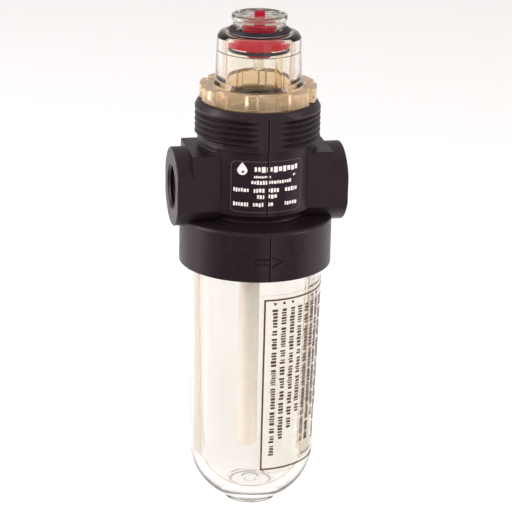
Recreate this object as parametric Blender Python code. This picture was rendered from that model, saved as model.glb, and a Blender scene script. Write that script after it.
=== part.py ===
"""Sight-feed air-line lubricator: a black nylon body between two pipe ports, a clear oil bowl below it and a
clear drip dome with its adjusting knob above it. Origin: where the port axis crosses the body's axis.
+Z is up, +X is the way the air flows and -Y is the front."""

import math

import bmesh
import bpy
from mathutils import Matrix, Vector

MM = 0.001
GAP = 0.3 * MM  # left between pieces that touch on the real object
AROUND = 40  # facets round a large turned piece
AROUND_SMALL = 24  # facets round a small one

# Ports and block
PORT_FACE_X = 20.5 * MM
PORT_BOSS_R = 9.4 * MM
PORT_THREAD_R = 5.16 * MM  # 1/8 taper pipe thread, at the face
PORT_THREAD_END_R = 4.85 * MM
PORT_THREAD_DEPTH = 10.3 * MM
AIRWAY_R = 4.4 * MM
FLAT_Y = 8.47 * MM  # wrench flats and block sides
BLOCK_X = 16.89 * MM
BLOCK_BOTTOM_Z = -4.1 * MM
SHOULDER_Z = 9.4 * MM
CORE_X = 11.3 * MM
LABEL_FACE_R = 13.53 * MM
LABEL_FACE_BOTTOM_Z = -4.54 * MM

# Threaded neck
THREAD_CREST_R = 14.88 * MM
THREAD_ROOT_R = 14.16 * MM
THREAD_PITCH = 1.41 * MM
THREAD_FIRST_Z = 12.1 * MM
THREAD_CRESTS = 6
NECK_BOTTOM_Z = 11.45 * MM
NECK_TOP_Z = 20.65 * MM
NECK_FLAT_Y = 13.96 * MM
NECK_BORE_R = 12.55 * MM
NECK_FLOOR_Z = 13.8 * MM

# Collar round the bowl thread
COLLAR_R = 18.22 * MM
COLLAR_TOP_Z = -7.0 * MM
COLLAR_BOTTOM_Z = -18.97 * MM
COLLAR_BORE_R = 16.45 * MM
CEILING_Z = -8.0 * MM
WAIST_R = 12.0 * MM

# Bowl
BOWL_THREAD_R = 15.9 * MM
BOWL_TOP_Z = -10.1 * MM
BOWL_SHOULDER_R = 16.13 * MM
BOWL_SHOULDER_Z = -19.3 * MM
BOWL_ROUND_R = 14.93 * MM
BOWL_ROUND_Z = -67.5 * MM
BOWL_END_DEPTH = 13.7 * MM  # of the full half-ellipse that the foot cuts off
BOWL_INNER_END_DEPTH = 10.9 * MM
BOWL_WALL = 2.6 * MM
BOWL_FOOT_R = 6.53 * MM
BOWL_FOOT_TOP_Z = -80.0 * MM
BOWL_BOTTOM_Z = -80.7 * MM
BOWL_FLOOR_R = 5.75 * MM
BOWL_FLOOR_Z = -77.2 * MM

# Sticker on the bowl
STICKER_TOP_Z = -23.0 * MM
STICKER_BOTTOM_Z = -69.2 * MM
STICKER_START = math.radians(-97.0)
STICKER_SWEEP = math.radians(105.0)
STICKER_OFF = 0.1 * MM
STICKER_THICK = 0.15 * MM

# Retaining ring
RING_R = 13.93 * MM
RING_NOTCH_R = 12.75 * MM
RING_HOLE_R = 10.95 * MM
RING_BOTTOM_Z = 20.95 * MM
RING_TOP_Z = 24.5 * MM
RING_SKIRT_R = 12.25 * MM
RING_LOBES = 10
RING_LOBE_ANGLE = math.radians(23.0)
RING_FLANK_ANGLE = math.radians(2.5)

# Sight dome
DOME_RIM_R = 7.5 * MM
DOME_RIM_Z = 37.6 * MM
DOME_SHOULDER_R = 9.84 * MM
DOME_SHOULDER_Z = 36.3 * MM
DOME_WALL_R = 10.25 * MM
DOME_WALL_Z = 25.6 * MM
DOME_BASE_R = 10.65 * MM
DOME_BASE_Z = 24.7 * MM
DOME_FLANGE_R = 12.0 * MM
DOME_FLANGE_TOP_Z = 17.6 * MM
DOME_BOTTOM_Z = 15.7 * MM
DOME_BORE_R = 7.7 * MM
DOME_CEILING_Z = 36.0 * MM
DOME_STEM_HOLE_R = 5.2 * MM
KNOB_SEAL_SEAT_Z = 36.4 * MM

# Adjusting knob and the metering screw inside it
KNOB_BOTTOM_Z = 38.25 * MM
KNOB_NECK_R = 6.3 * MM
KNOB_RIM_R = 6.61 * MM
KNOB_RIM_Z = 40.5 * MM
KNOB_TOP_Z = 41.1 * MM
KNOB_STEM_R = 4.9 * MM
KNOB_STEM_BOTTOM_Z = 36.45 * MM
KNOB_BORE_R = 4.1 * MM
KNOB_BORE_TOP_Z = 40.1 * MM
SCREW_HEAD_R = 3.85 * MM
SCREW_HEAD_TOP_Z = 39.6 * MM
SCREW_HEAD_BOTTOM_Z = 37.2 * MM
SCREW_SHANK_R = 1.6 * MM
SCREW_TAB = Vector((2.35, 1.2)) * MM
SCREW_TAB_TOP_Z = 41.7 * MM
NEEDLE_SHOULDER_Z = 33.0 * MM
NEEDLE_TIP_Z = 32.25 * MM

# Metering block, drip nozzle and riser
BLOCK_DISC_R = 7.3 * MM
BLOCK_DISC_TOP_Z = 35.7 * MM
BLOCK_DISC_BOTTOM_Z = 33.7 * MM
BLOCK_BOSS_R = 3.0 * MM
BLOCK_BOSS_BOTTOM_Z = 30.9 * MM
NOZZLE_R = 1.3 * MM
NOZZLE_BORE_R = 0.65 * MM
NOZZLE_TOP_Z = 31.5 * MM
NOZZLE_TIP_Z = 27.8 * MM
RISER_PLACE = Vector((5.3, 1.0, 0.0)) * MM
RISER_R = 1.0 * MM
RISER_BORE_R = 0.55 * MM
RISER_BOTTOM_Z = 9.5 * MM
RISER_TOP_Z = 34.6 * MM

# Drip well in the floor of the neck
WELL_R = 8.2 * MM
WELL_TOP_Z = 13.5 * MM
WELL_BOTTOM_Z = 9.9 * MM
GALLERY_FLOOR_Z = 8.7 * MM

# Flow sensor flap
FLAP_PIN_PLACE = Vector((-6.0, 0.0, 5.3)) * MM
FLAP_PIN_R = 0.6 * MM
FLAP_PIN_LENGTH = 9.0 * MM
FLAP_KNUCKLE_R = 1.15 * MM
FLAP_WIDTH = 4.8 * MM
FLAP_THICK = 0.7 * MM
FLAP_LENGTH = 8.7 * MM

# Siphon line
SIPHON_PLACE = Vector((0.0, 5.6, 0.0)) * MM
SIPHON_R = 2.6 * MM
SIPHON_BORE_R = 1.8 * MM
SIPHON_TOP_Z = -12.6 * MM
SIPHON_END_Z = -69.0 * MM
OIL_PASSAGE_R = 0.8 * MM
SPIGOT_R = 2.3 * MM
SPIGOT_TOP_Z = -5.2 * MM
CHECK_BALL_R = 1.2 * MM
CHECK_BALL_Z = -10.08 * MM

JET_PLACE = Vector((-7.5, -3.2, 0.0)) * MM

COLOURS = {  # colour, roughness, metallic, transmission
    "black_nylon": ((0.022, 0.018, 0.02), 0.5, 0.0, 0.0),
    "clear_polycarbonate": ((0.93, 0.9, 0.82), 0.05, 0.0, 0.9),
    "amber_polycarbonate": ((0.85, 0.7, 0.4), 0.08, 0.0, 0.8),
    "red_acetal": ((0.42, 0.01, 0.025), 0.3, 0.0, 0.0),
    "natural_nylon": ((0.75, 0.7, 0.58), 0.45, 0.0, 0.0),
    "nitrile_rubber": ((0.02, 0.017, 0.02), 0.6, 0.0, 0.0),
    "clear_film": ((0.9, 0.86, 0.75), 0.2, 0.0, 0.7),
    "brass": ((0.7, 0.5, 0.2), 0.3, 1.0, 0.0),
    "bright_steel": ((0.65, 0.65, 0.66), 0.2, 1.0, 0.0),
}


def material(name):
    found = bpy.data.materials.get(name)
    if found:
        return found
    colour, roughness, metallic, transmission = COLOURS[name]
    made = bpy.data.materials.new(name)
    made.use_nodes = True
    shader = made.node_tree.nodes["Principled BSDF"]
    shader.inputs["Base Color"].default_value = (*colour, 1.0)
    shader.inputs["Roughness"].default_value = roughness
    shader.inputs["Metallic"].default_value = metallic
    shader.inputs["Transmission Weight"].default_value = transmission
    made.diffuse_color = (*colour, 1.0)
    return made


def finished(name, bm, finish, place=(0, 0, 0)):
    """Makes the bmesh an object, with its normals outwards and its round faces smooth."""
    bmesh.ops.remove_doubles(bm, verts=bm.verts, dist=0.0005 * MM)
    bmesh.ops.recalc_face_normals(bm, faces=bm.faces)
    mesh = bpy.data.meshes.new(name)
    bm.to_mesh(mesh)
    bm.free()
    mesh.shade_smooth()
    mesh.set_sharp_from_angle(angle=math.radians(30))
    obj = bpy.data.objects.new(name, mesh)
    obj.location = place
    bpy.context.scene.collection.objects.link(obj)
    if finish:
        mesh.materials.append(material(finish))
    return obj


def arc(centre, radii, start, end, steps):
    """Points (r, z) along an arc or a quarter ellipse, angles in degrees from +r towards +z."""
    points = []
    for step in range(steps + 1):
        angle = math.radians(start + (end - start) * step / steps)
        points.append((centre[0] + radii[0] * math.cos(angle), centre[1] + radii[1] * math.sin(angle)))
    return points


def turned_mesh(profile, around):
    """Spins a profile of (r, z) points about Z. One that starts and ends on the axis is left open there."""
    bm = bmesh.new()
    verts = [bm.verts.new((r, 0, z)) for r, z in profile]
    edges = [bm.edges.new(pair) for pair in zip(verts, verts[1:])]
    if profile[0][0] > 0 or profile[-1][0] > 0:
        edges.append(bm.edges.new((verts[-1], verts[0])))
    bmesh.ops.spin(bm, geom=verts + edges, cent=(0, 0, 0), axis=(0, 0, 1), angle=2 * math.pi,
                   steps=around, use_merge=True)
    return bm


def turned(name, profile, finish, place=(0, 0, 0), around=AROUND):
    return finished(name, turned_mesh(profile, around), finish, place)


def tube_profile(inner_r, outer_r, bottom_z, top_z):
    return [(inner_r, top_z), (outer_r, top_z), (outer_r, bottom_z), (inner_r, bottom_z)]


def seal_ring(name, radius, section_r, z, place=(0, 0, 0), around=AROUND):
    profile = arc((radius, z), (section_r, section_r), 90, -225, 7)
    return turned(name, profile, "nitrile_rubber", place, around)


def helper(obj):
    """Hides a shape that only cuts or joins another."""
    obj.hide_render = True
    obj.display_type = "WIRE"
    return obj


def combine(target, other, operation):
    modifier = target.modifiers.new(f"{operation.lower()}_{other.name}", "BOOLEAN")
    modifier.operation = operation
    modifier.object = helper(other)
    modifier.solver = "EXACT"


def join(target, *others):
    for other in others:
        combine(target, other, "UNION")


def cut(target, *others):
    for other in others:
        combine(target, other, "DIFFERENCE")


def box(name, low, high):
    bm = bmesh.new()
    low, high = Vector(low), Vector(high)
    bmesh.ops.create_cube(bm, size=1, matrix=Matrix.Translation((low + high) / 2) @ Matrix.Diagonal(
        (*(high - low), 1)))
    return finished(name, bm, None)


def rod(name, r_start, r_end, start, end, around=AROUND_SMALL, finish=None):
    """A round bar or cone from start to end, a flat facet upwards when it lies along X."""
    start, end = Vector(start), Vector(end)
    along = end - start
    place = Matrix.Translation((start + end) / 2) @ along.to_track_quat("Z", "Y").to_matrix().to_4x4()
    bm = bmesh.new()
    bmesh.ops.create_cone(bm, cap_ends=True, segments=around, radius1=r_start, radius2=r_end,
                          depth=along.length,
                          matrix=place @ Matrix.Rotation(math.pi / around, 4, "Z"))
    return finished(name, bm, finish)


def upright(name, radius, place, bottom_z, top_z, around=AROUND_SMALL):
    x, y = place[0], place[1]
    return rod(name, radius, radius, (x, y, bottom_z), (x, y, top_z), around)


def bowl_outer_r(z):
    """The bowl's outer radius at a height, on its drafted wall or its round end."""
    if z < BOWL_ROUND_Z:
        return BOWL_ROUND_R * math.sqrt(1 - ((BOWL_ROUND_Z - z) / BOWL_END_DEPTH) ** 2)
    share = (BOWL_SHOULDER_Z - z) / (BOWL_SHOULDER_Z - BOWL_ROUND_Z)
    return BOWL_SHOULDER_R + (BOWL_ROUND_R - BOWL_SHOULDER_R) * share


def neck_thread_profile():
    """Ribs in place of the panel thread's turns, the last one rounded as its lead-in."""
    profile = [(0, NECK_BOTTOM_Z), (THREAD_ROOT_R, NECK_BOTTOM_Z)]
    for turn in range(THREAD_CRESTS):
        z = THREAD_FIRST_Z + turn * THREAD_PITCH
        profile += [(THREAD_ROOT_R, z - 0.6 * MM), (THREAD_CREST_R, z - 0.1 * MM)]
        profile += [(THREAD_CREST_R, z + 0.1 * MM), (THREAD_ROOT_R, z + 0.6 * MM)]
    profile[-1:] = arc((THREAD_CREST_R - 0.9 * MM, NECK_TOP_Z - 1.2 * MM), (0.9 * MM, 1.2 * MM), 0, 90, 4)
    return profile + [(0, NECK_TOP_Z)]


def make_housing():
    housing = rod("housing", PORT_BOSS_R, PORT_BOSS_R, (-PORT_FACE_X, 0, 0), (PORT_FACE_X, 0, 0),
                  AROUND, "black_nylon")
    wide = 10 * MM
    join(housing,
         box("block_form", (-BLOCK_X, -wide, BLOCK_BOTTOM_Z), (BLOCK_X, wide, SHOULDER_Z)),
         box("core_form", (-CORE_X, -wide, 0), (CORE_X, wide, NECK_BOTTOM_Z + 0.4 * MM)),
         upright("band_form", THREAD_ROOT_R - 0.16 * MM, (0, 0), 5 * MM, NECK_BOTTOM_Z + 0.5 * MM, AROUND))
    reach = 25 * MM
    for side, name in ((-1, "front_flat"), (1, "rear_flat")):
        ys = sorted((side * FLAT_Y, side * reach))
        cut(housing, box(name, (-reach, ys[0], -reach), (reach, ys[1], reach)))

    neck = turned("neck_form", neck_thread_profile(), None)
    for side, name in ((-1, "neck_front_flat"), (1, "neck_rear_flat")):
        ys = sorted((side * NECK_FLAT_Y, side * reach))
        cut(neck, box(name, (-reach, ys[0], 0), (reach, ys[1], reach)))
    collar = turned("collar_form", [
        (0, LABEL_FACE_BOTTOM_Z + 0.5 * MM), (WAIST_R, LABEL_FACE_BOTTOM_Z + 0.5 * MM),
        (WAIST_R, COLLAR_TOP_Z), (COLLAR_R - 0.8 * MM, COLLAR_TOP_Z), (COLLAR_R, COLLAR_TOP_Z - 0.7 * MM),
        (COLLAR_R, COLLAR_BOTTOM_Z), (0, COLLAR_BOTTOM_Z)], None)
    join(housing, upright("label_face", LABEL_FACE_R, (0, 0), LABEL_FACE_BOTTOM_Z, NECK_BOTTOM_Z + 0.6 * MM,
                          AROUND), neck, collar)

    inside = PORT_FACE_X - PORT_THREAD_DEPTH
    past = PORT_FACE_X + 0.5 * MM
    cut(housing,
        upright("bowl_bore", COLLAR_BORE_R, (0, 0), COLLAR_BOTTOM_Z - MM, CEILING_Z, AROUND),
        upright("neck_bore", NECK_BORE_R, (0, 0), NECK_FLOOR_Z, NECK_TOP_Z + MM, AROUND),
        upright("well_bore", WELL_R + GAP, (0, 0), WELL_BOTTOM_Z - GAP, NECK_FLOOR_Z + MM, AROUND),
        turned("oil_gallery", tube_profile(4.4 * MM, 6.6 * MM, GALLERY_FLOOR_Z, WELL_BOTTOM_Z), None),
        turned("well_seal_groove", tube_profile(2.4 * MM, 3.6 * MM, 8.9 * MM, WELL_BOTTOM_Z), None),
        upright("drip_passage", 1.3 * MM, (0, 0), 3 * MM, WELL_BOTTOM_Z),
        rod("airway", AIRWAY_R, AIRWAY_R, (-past, 0, 0), (past, 0, 0), AROUND_SMALL),
        rod("inlet_thread", PORT_THREAD_R, PORT_THREAD_END_R, (-past, 0, 0), (-inside, 0, 0), AROUND_SMALL),
        rod("outlet_thread", PORT_THREAD_R, PORT_THREAD_END_R, (past, 0, 0), (inside, 0, 0), AROUND_SMALL),
        box("flap_pocket", (-7.7 * MM, -2.75 * MM, 3 * MM), (-2.2 * MM, 2.75 * MM, 6.8 * MM)),
        rod("flap_pin_hole", FLAP_PIN_R + 0.2 * MM, FLAP_PIN_R + 0.2 * MM,
            FLAP_PIN_PLACE - Vector((0, FLAP_PIN_LENGTH / 2 + GAP, 0)),
            FLAP_PIN_PLACE + Vector((0, FLAP_PIN_LENGTH / 2 + GAP, 0)), 12),
        upright("siphon_bore", SPIGOT_R + GAP, SIPHON_PLACE, CEILING_Z - MM, SPIGOT_TOP_Z + GAP),
        upright("oil_passage", OIL_PASSAGE_R, SIPHON_PLACE, -6 * MM, GALLERY_FLOOR_Z + 0.5 * MM, 12),
        upright("jet_bore", 1.85 * MM, JET_PLACE, CEILING_Z - MM, -2.4 * MM, 16))
    return housing


def make_bowl():
    outer_end = arc((0, BOWL_ROUND_Z), (BOWL_ROUND_R, BOWL_END_DEPTH), 0, -90, 12)
    outer_end = [point for point in outer_end if point[0] > BOWL_FOOT_R + 0.5 * MM]
    inner_r = BOWL_ROUND_R - BOWL_WALL
    inner_end = arc((0, BOWL_ROUND_Z), (inner_r, BOWL_INNER_END_DEPTH), -90, 0, 10)
    inner_end = [point for point in inner_end if point[0] > BOWL_FLOOR_R + 0.5 * MM]
    profile = [(BOWL_THREAD_R - BOWL_WALL, BOWL_TOP_Z), (BOWL_THREAD_R, BOWL_TOP_Z),
               (BOWL_THREAD_R, BOWL_SHOULDER_Z + 0.8 * MM), (BOWL_SHOULDER_R, BOWL_SHOULDER_Z)]
    profile += outer_end + [(BOWL_FOOT_R, BOWL_FOOT_TOP_Z), (BOWL_FOOT_R, BOWL_BOTTOM_Z)]
    profile += [(BOWL_FOOT_R - MM, BOWL_BOTTOM_Z), (BOWL_FOOT_R - 1.6 * MM, BOWL_BOTTOM_Z + 0.6 * MM),
                (0, BOWL_BOTTOM_Z + 0.6 * MM)]
    inner = [(0, BOWL_FLOOR_Z), (BOWL_FLOOR_R, BOWL_FLOOR_Z)] + inner_end
    return turned_shell("bowl", profile, inner, "clear_polycarbonate")


def turned_shell(name, outer, inner, finish, place=(0, 0, 0), around=AROUND):
    """A cup: its outer profile ends on the axis and its inner one starts there."""
    bm = bmesh.new()
    verts = [bm.verts.new((r, 0, z)) for r, z in outer]
    inner_verts = [bm.verts.new((r, 0, z)) for r, z in inner]
    edges = [bm.edges.new(pair) for pair in zip(verts, verts[1:])]
    edges += [bm.edges.new(pair) for pair in zip(inner_verts, inner_verts[1:])]
    edges.append(bm.edges.new((inner_verts[-1], verts[0])))
    bmesh.ops.spin(bm, geom=verts + inner_verts + edges, cent=(0, 0, 0), axis=(0, 0, 1),
                   angle=2 * math.pi, steps=around, use_merge=True)
    return finished(name, bm, finish, place)


def make_bowl_sticker():
    """A thin film wrapped part of the way round the bowl, following its draft."""
    bm = bmesh.new()
    near, far = STICKER_OFF, STICKER_OFF + STICKER_THICK
    heights = [STICKER_TOP_Z, BOWL_ROUND_Z, STICKER_BOTTOM_Z]
    corners = [(far, z) for z in heights] + [(near, z) for z in reversed(heights)]
    start = Matrix.Rotation(STICKER_START, 3, "Z")
    verts = [bm.verts.new(start @ Vector((bowl_outer_r(z) + off, 0, z))) for off, z in corners]
    edges = [bm.edges.new((verts[i - 1], verts[i])) for i in range(len(verts))]
    bmesh.ops.spin(bm, geom=verts + edges, cent=(0, 0, 0), axis=(0, 0, 1), angle=STICKER_SWEEP, steps=14)
    open_edges = [edge for edge in bm.edges if edge.is_boundary]
    bmesh.ops.holes_fill(bm, edges=open_edges, sides=0)
    return finished("bowl_sticker", bm, "clear_film")


def make_retaining_ring():
    """A lobed ring; the lobes give the fingers a grip."""
    bm = bmesh.new()
    half_lobe = RING_LOBE_ANGLE / 2
    pitch = 2 * math.pi / RING_LOBES
    notch_half = pitch / 2 - half_lobe - RING_FLANK_ANGLE
    corners = []
    for lobe in range(RING_LOBES):
        middle = lobe * pitch + math.radians(-90)
        for share in (-1, -0.33, 0.33, 1):
            corners.append((RING_R, middle + share * half_lobe))
        for share in (-1, 1):
            corners.append((RING_NOTCH_R, middle + pitch / 2 + share * notch_half))
    outline = [bm.verts.new((r * math.cos(a), r * math.sin(a), RING_BOTTOM_Z)) for r, a in corners]
    face = bm.faces.new(outline)
    raised = bmesh.ops.extrude_face_region(bm, geom=[face], use_keep_orig=True)["geom"]
    bmesh.ops.translate(bm, vec=(0, 0, RING_TOP_Z - RING_BOTTOM_Z),
                        verts=[item for item in raised if isinstance(item, bmesh.types.BMVert)])
    ring = finished("retaining_ring", bm, "amber_polycarbonate")
    skirt_bottom = DOME_FLANGE_TOP_Z + GAP
    join(ring, upright("ring_skirt", RING_SKIRT_R, (0, 0), skirt_bottom, RING_BOTTOM_Z + MM, AROUND))
    cut(ring, upright("ring_hole", RING_HOLE_R, (0, 0), skirt_bottom - MM, RING_TOP_Z + MM, AROUND))
    return ring


def make_sight_dome():
    shoulder = arc((DOME_RIM_R, DOME_SHOULDER_Z), (DOME_SHOULDER_R - DOME_RIM_R, DOME_RIM_Z - DOME_SHOULDER_Z),
                   90, 0, 5)
    profile = [(DOME_STEM_HOLE_R, KNOB_SEAL_SEAT_Z), (DOME_RIM_R - 0.1 * MM, KNOB_SEAL_SEAT_Z),
               (DOME_RIM_R - 0.1 * MM, DOME_RIM_Z)]
    profile += shoulder + [(DOME_WALL_R, DOME_WALL_Z), (DOME_BASE_R, DOME_BASE_Z)]
    profile += [(DOME_BASE_R, DOME_FLANGE_TOP_Z), (DOME_FLANGE_R, DOME_FLANGE_TOP_Z),
                (DOME_FLANGE_R, DOME_BOTTOM_Z), (DOME_BORE_R, DOME_BOTTOM_Z), (DOME_BORE_R, DOME_CEILING_Z),
                (DOME_STEM_HOLE_R, DOME_CEILING_Z)]
    return turned("sight_dome", profile, "clear_polycarbonate")


def make_knob():
    rim = arc((KNOB_RIM_R - 0.6 * MM, KNOB_RIM_Z), (0.6 * MM, KNOB_TOP_Z - KNOB_RIM_Z), 90, 0, 4)
    profile = [(0, KNOB_BORE_TOP_Z + 0.4 * MM), (3.4 * MM, KNOB_BORE_TOP_Z + 0.45 * MM),
               (5.3 * MM, KNOB_TOP_Z - 0.15 * MM)]
    profile += rim + [(KNOB_NECK_R, KNOB_RIM_Z - 1.0 * MM), (KNOB_NECK_R, KNOB_BOTTOM_Z),
                      (KNOB_STEM_R, KNOB_BOTTOM_Z), (KNOB_STEM_R, KNOB_STEM_BOTTOM_Z),
                      (KNOB_BORE_R, KNOB_STEM_BOTTOM_Z), (KNOB_BORE_R, KNOB_BORE_TOP_Z), (0, KNOB_BORE_TOP_Z)]
    knob = turned("adjusting_knob", profile, "clear_polycarbonate", around=32)
    slot = SCREW_TAB / 2 + Vector((GAP, GAP))
    cut(knob, box("tab_slot", (-slot.x, -slot.y, KNOB_BORE_TOP_Z - MM), (slot.x, slot.y, KNOB_TOP_Z + MM)))
    return knob


def make_metering_screw():
    screw = turned("metering_screw", [
        (0, SCREW_HEAD_TOP_Z), (SCREW_HEAD_R, SCREW_HEAD_TOP_Z), (SCREW_HEAD_R, SCREW_HEAD_BOTTOM_Z),
        (SCREW_SHANK_R, SCREW_HEAD_BOTTOM_Z), (SCREW_SHANK_R, NEEDLE_SHOULDER_Z),
        (0.5 * MM, NEEDLE_TIP_Z), (0, NEEDLE_TIP_Z)], "red_acetal", around=AROUND_SMALL)
    tab = SCREW_TAB / 2
    join(screw, box("screw_tab", (-tab.x, -tab.y, SCREW_HEAD_TOP_Z - 0.5 * MM),
                    (tab.x, tab.y, SCREW_TAB_TOP_Z)))
    return screw


def make_metering_block():
    """The red disc at the top of the dome: it carries the needle's seat and the drip nozzle."""
    block = turned("metering_block", [
        (SCREW_SHANK_R + GAP, BLOCK_DISC_TOP_Z), (BLOCK_DISC_R, BLOCK_DISC_TOP_Z),
        (BLOCK_DISC_R, BLOCK_DISC_BOTTOM_Z), (BLOCK_BOSS_R, BLOCK_DISC_BOTTOM_Z),
        (BLOCK_BOSS_R, BLOCK_BOSS_BOTTOM_Z), (NOZZLE_R + GAP, BLOCK_BOSS_BOTTOM_Z),
        (NOZZLE_R + GAP, NOZZLE_TOP_Z + GAP), (0.8 * MM, NOZZLE_TOP_Z + GAP),
        (0.8 * MM, NEEDLE_TIP_Z - 0.2 * MM), (SCREW_SHANK_R + GAP, NEEDLE_SHOULDER_Z)],
        "red_acetal", around=32)
    cut(block, upright("riser_socket", RISER_R + 0.2 * MM, RISER_PLACE, BLOCK_DISC_BOTTOM_Z - MM,
                       RISER_TOP_Z + GAP, 16),
        box("oil_slot", (0, RISER_PLACE.y - 0.5 * MM, RISER_TOP_Z), (RISER_PLACE.x, RISER_PLACE.y + 0.5 * MM,
                                                                      BLOCK_DISC_TOP_Z + MM)))
    return block


def make_drip_well():
    well = turned("drip_well", [
        (1.2 * MM, WELL_TOP_Z - 2.4 * MM), (6.8 * MM, WELL_TOP_Z - 0.8 * MM), (7.1 * MM, WELL_TOP_Z),
        (WELL_R, WELL_TOP_Z), (WELL_R, WELL_BOTTOM_Z), (1.2 * MM, WELL_BOTTOM_Z)], "natural_nylon", around=32)
    cut(well, upright("riser_hole", RISER_R + 0.2 * MM, RISER_PLACE, WELL_BOTTOM_Z - MM, WELL_TOP_Z + MM, 16))
    return well


def make_flow_sensor():
    """A flap on a cross pin; the air lifts it towards the outlet."""
    half = FLAP_WIDTH / 2
    flap = rod("flow_sensor", FLAP_KNUCKLE_R, FLAP_KNUCKLE_R, (0, -half, 0), (0, half, 0), 16, "natural_nylon")
    flap.location = FLAP_PIN_PLACE
    bm = bmesh.new()
    tip = arc((0, half - FLAP_LENGTH), (half, half), 0, -180, 10)
    outline = [(half - 0.05 * MM, 0)] + [(y * 0.98, z) for y, z in tip] + [(-half + 0.05 * MM, 0)]
    face = bm.faces.new([bm.verts.new((-FLAP_THICK / 2, y, z)) for y, z in outline])
    thick = bmesh.ops.extrude_face_region(bm, geom=[face], use_keep_orig=True)["geom"]
    bmesh.ops.translate(bm, vec=(FLAP_THICK, 0, 0),
                        verts=[item for item in thick if isinstance(item, bmesh.types.BMVert)])
    join(flap, finished("flap_blade", bm, None, FLAP_PIN_PLACE))
    reach = Vector((0, half + MM, 0))
    hole_r = FLAP_PIN_R + 0.2 * MM
    cut(flap, rod("flap_bore", hole_r, hole_r, FLAP_PIN_PLACE - reach, FLAP_PIN_PLACE + reach, 12))
    return flap


def make_flow_sensor_pin():
    half = Vector((0, FLAP_PIN_LENGTH / 2, 0))
    return rod("flow_sensor_pin", FLAP_PIN_R, FLAP_PIN_R, FLAP_PIN_PLACE - half, FLAP_PIN_PLACE + half, 12,
               "bright_steel")


def make_siphon_line():
    """The adapter under the ceiling with its check ball, and the tube that reaches down into the oil."""
    barb_bottom = -17 * MM
    turned("siphon_adapter", [
        (1.6 * MM, SPIGOT_TOP_Z), (SPIGOT_R, SPIGOT_TOP_Z), (SPIGOT_R, -9.3 * MM), (3.7 * MM, -9.3 * MM),
        (3.7 * MM, -10.5 * MM), (SIPHON_R, -10.5 * MM), (SIPHON_R, SIPHON_TOP_Z + GAP),
        (1.5 * MM, SIPHON_TOP_Z + GAP), (1.5 * MM, barb_bottom), (0.75 * MM, barb_bottom),
        (0.75 * MM, -11.2 * MM), (1.6 * MM, -10.6 * MM)], "natural_nylon", SIPHON_PLACE, AROUND_SMALL)
    seal_ring("siphon_adapter_seal", 3.05 * MM, 0.35 * MM, -8.65 * MM, SIPHON_PLACE, AROUND_SMALL)
    turned("check_ball", arc((0, 0), (CHECK_BALL_R, CHECK_BALL_R), 90, -90, 8), "bright_steel",
           SIPHON_PLACE + Vector((0, 0, CHECK_BALL_Z)), 16)
    stop = turned("ball_stop", tube_profile(0.6 * MM, 1.3 * MM, -7.8 * MM, -6.6 * MM), "bright_steel",
                  SIPHON_PLACE, AROUND_SMALL)
    x, y = SIPHON_PLACE.x, SIPHON_PLACE.y
    cut(stop, box("stop_slot", (x - 2 * MM, y - 0.3 * MM, -8 * MM), (x + 2 * MM, y + 0.3 * MM, -7.3 * MM)))
    turned("siphon_tube", tube_profile(SIPHON_BORE_R, SIPHON_R, SIPHON_END_Z, SIPHON_TOP_Z),
           "natural_nylon", SIPHON_PLACE, AROUND_SMALL)


def make_pressure_jet():
    """The small orifice that lets air down on to the oil."""
    jet = turned("bowl_pressure_jet", [
        (0.4 * MM, -4.6 * MM), (1.55 * MM, -4.6 * MM), (1.55 * MM, CEILING_Z - GAP),
        (2.2 * MM, CEILING_Z - GAP), (2.2 * MM, -9.2 * MM), (0.4 * MM, -9.2 * MM)], "brass", JET_PLACE, 16)
    x, y = JET_PLACE.x, JET_PLACE.y
    cut(jet, box("jet_slot", (x - 3 * MM, y - 0.3 * MM, -10 * MM), (x + 3 * MM, y + 0.3 * MM, -8.8 * MM)))
    return jet


def gather(empty_name, names):
    """Parents the pieces that move together to one empty on their axis."""
    empty = bpy.data.objects.new(empty_name, None)
    bpy.context.scene.collection.objects.link(empty)
    for name in names:
        bpy.data.objects[name].parent = empty
    return empty


def main():
    for obj in list(bpy.data.objects):
        bpy.data.objects.remove(obj, do_unlink=True)
    make_housing()
    make_bowl()
    seal_ring("bowl_seal", 14.7 * MM, 0.75 * MM, CEILING_Z - GAP - 0.75 * MM)
    make_bowl_sticker()
    make_retaining_ring()
    make_sight_dome()
    seal_ring("dome_seal", 10.6 * MM, 0.65 * MM, NECK_FLOOR_Z + GAP + 0.65 * MM)
    make_knob()
    seal_ring("knob_seal", 6.5 * MM, 0.7 * MM, 37.2 * MM, around=32)
    make_metering_screw()
    make_metering_block()
    seal_ring("metering_block_seal", 6.95 * MM, 0.38 * MM, 33.0 * MM, around=32)
    turned("drip_nozzle", tube_profile(NOZZLE_BORE_R, NOZZLE_R, NOZZLE_TIP_Z, NOZZLE_TOP_Z),
           "clear_polycarbonate", around=16)
    turned("oil_riser_tube", tube_profile(RISER_BORE_R, RISER_R, RISER_BOTTOM_Z, RISER_TOP_Z),
           "clear_polycarbonate", RISER_PLACE, 16)
    make_drip_well()
    seal_ring("drip_well_seal", 3.0 * MM, 0.32 * MM, WELL_BOTTOM_Z - 0.5 * MM, around=AROUND_SMALL)
    make_flow_sensor()
    make_flow_sensor_pin()
    make_siphon_line()
    make_pressure_jet()
    gather("bowl_axis", ("bowl", "bowl_sticker", "bowl_seal"))
    gather("dome_axis", ("sight_dome", "dome_seal", "retaining_ring", "knob_seal", "metering_block",
                         "metering_block_seal", "drip_nozzle", "oil_riser_tube"))
    gather("knob_axis", ("adjusting_knob", "metering_screw"))


main()
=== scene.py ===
"""Looks of a sight-feed air-line lubricator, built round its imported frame: black nylon body with a threaded
neck, clear oil bowl with its printed film, and a clear drip dome with red metering parts.

Shapes are drawn in millimetres, and solid() brings them to metres."""

import math
import random

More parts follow.
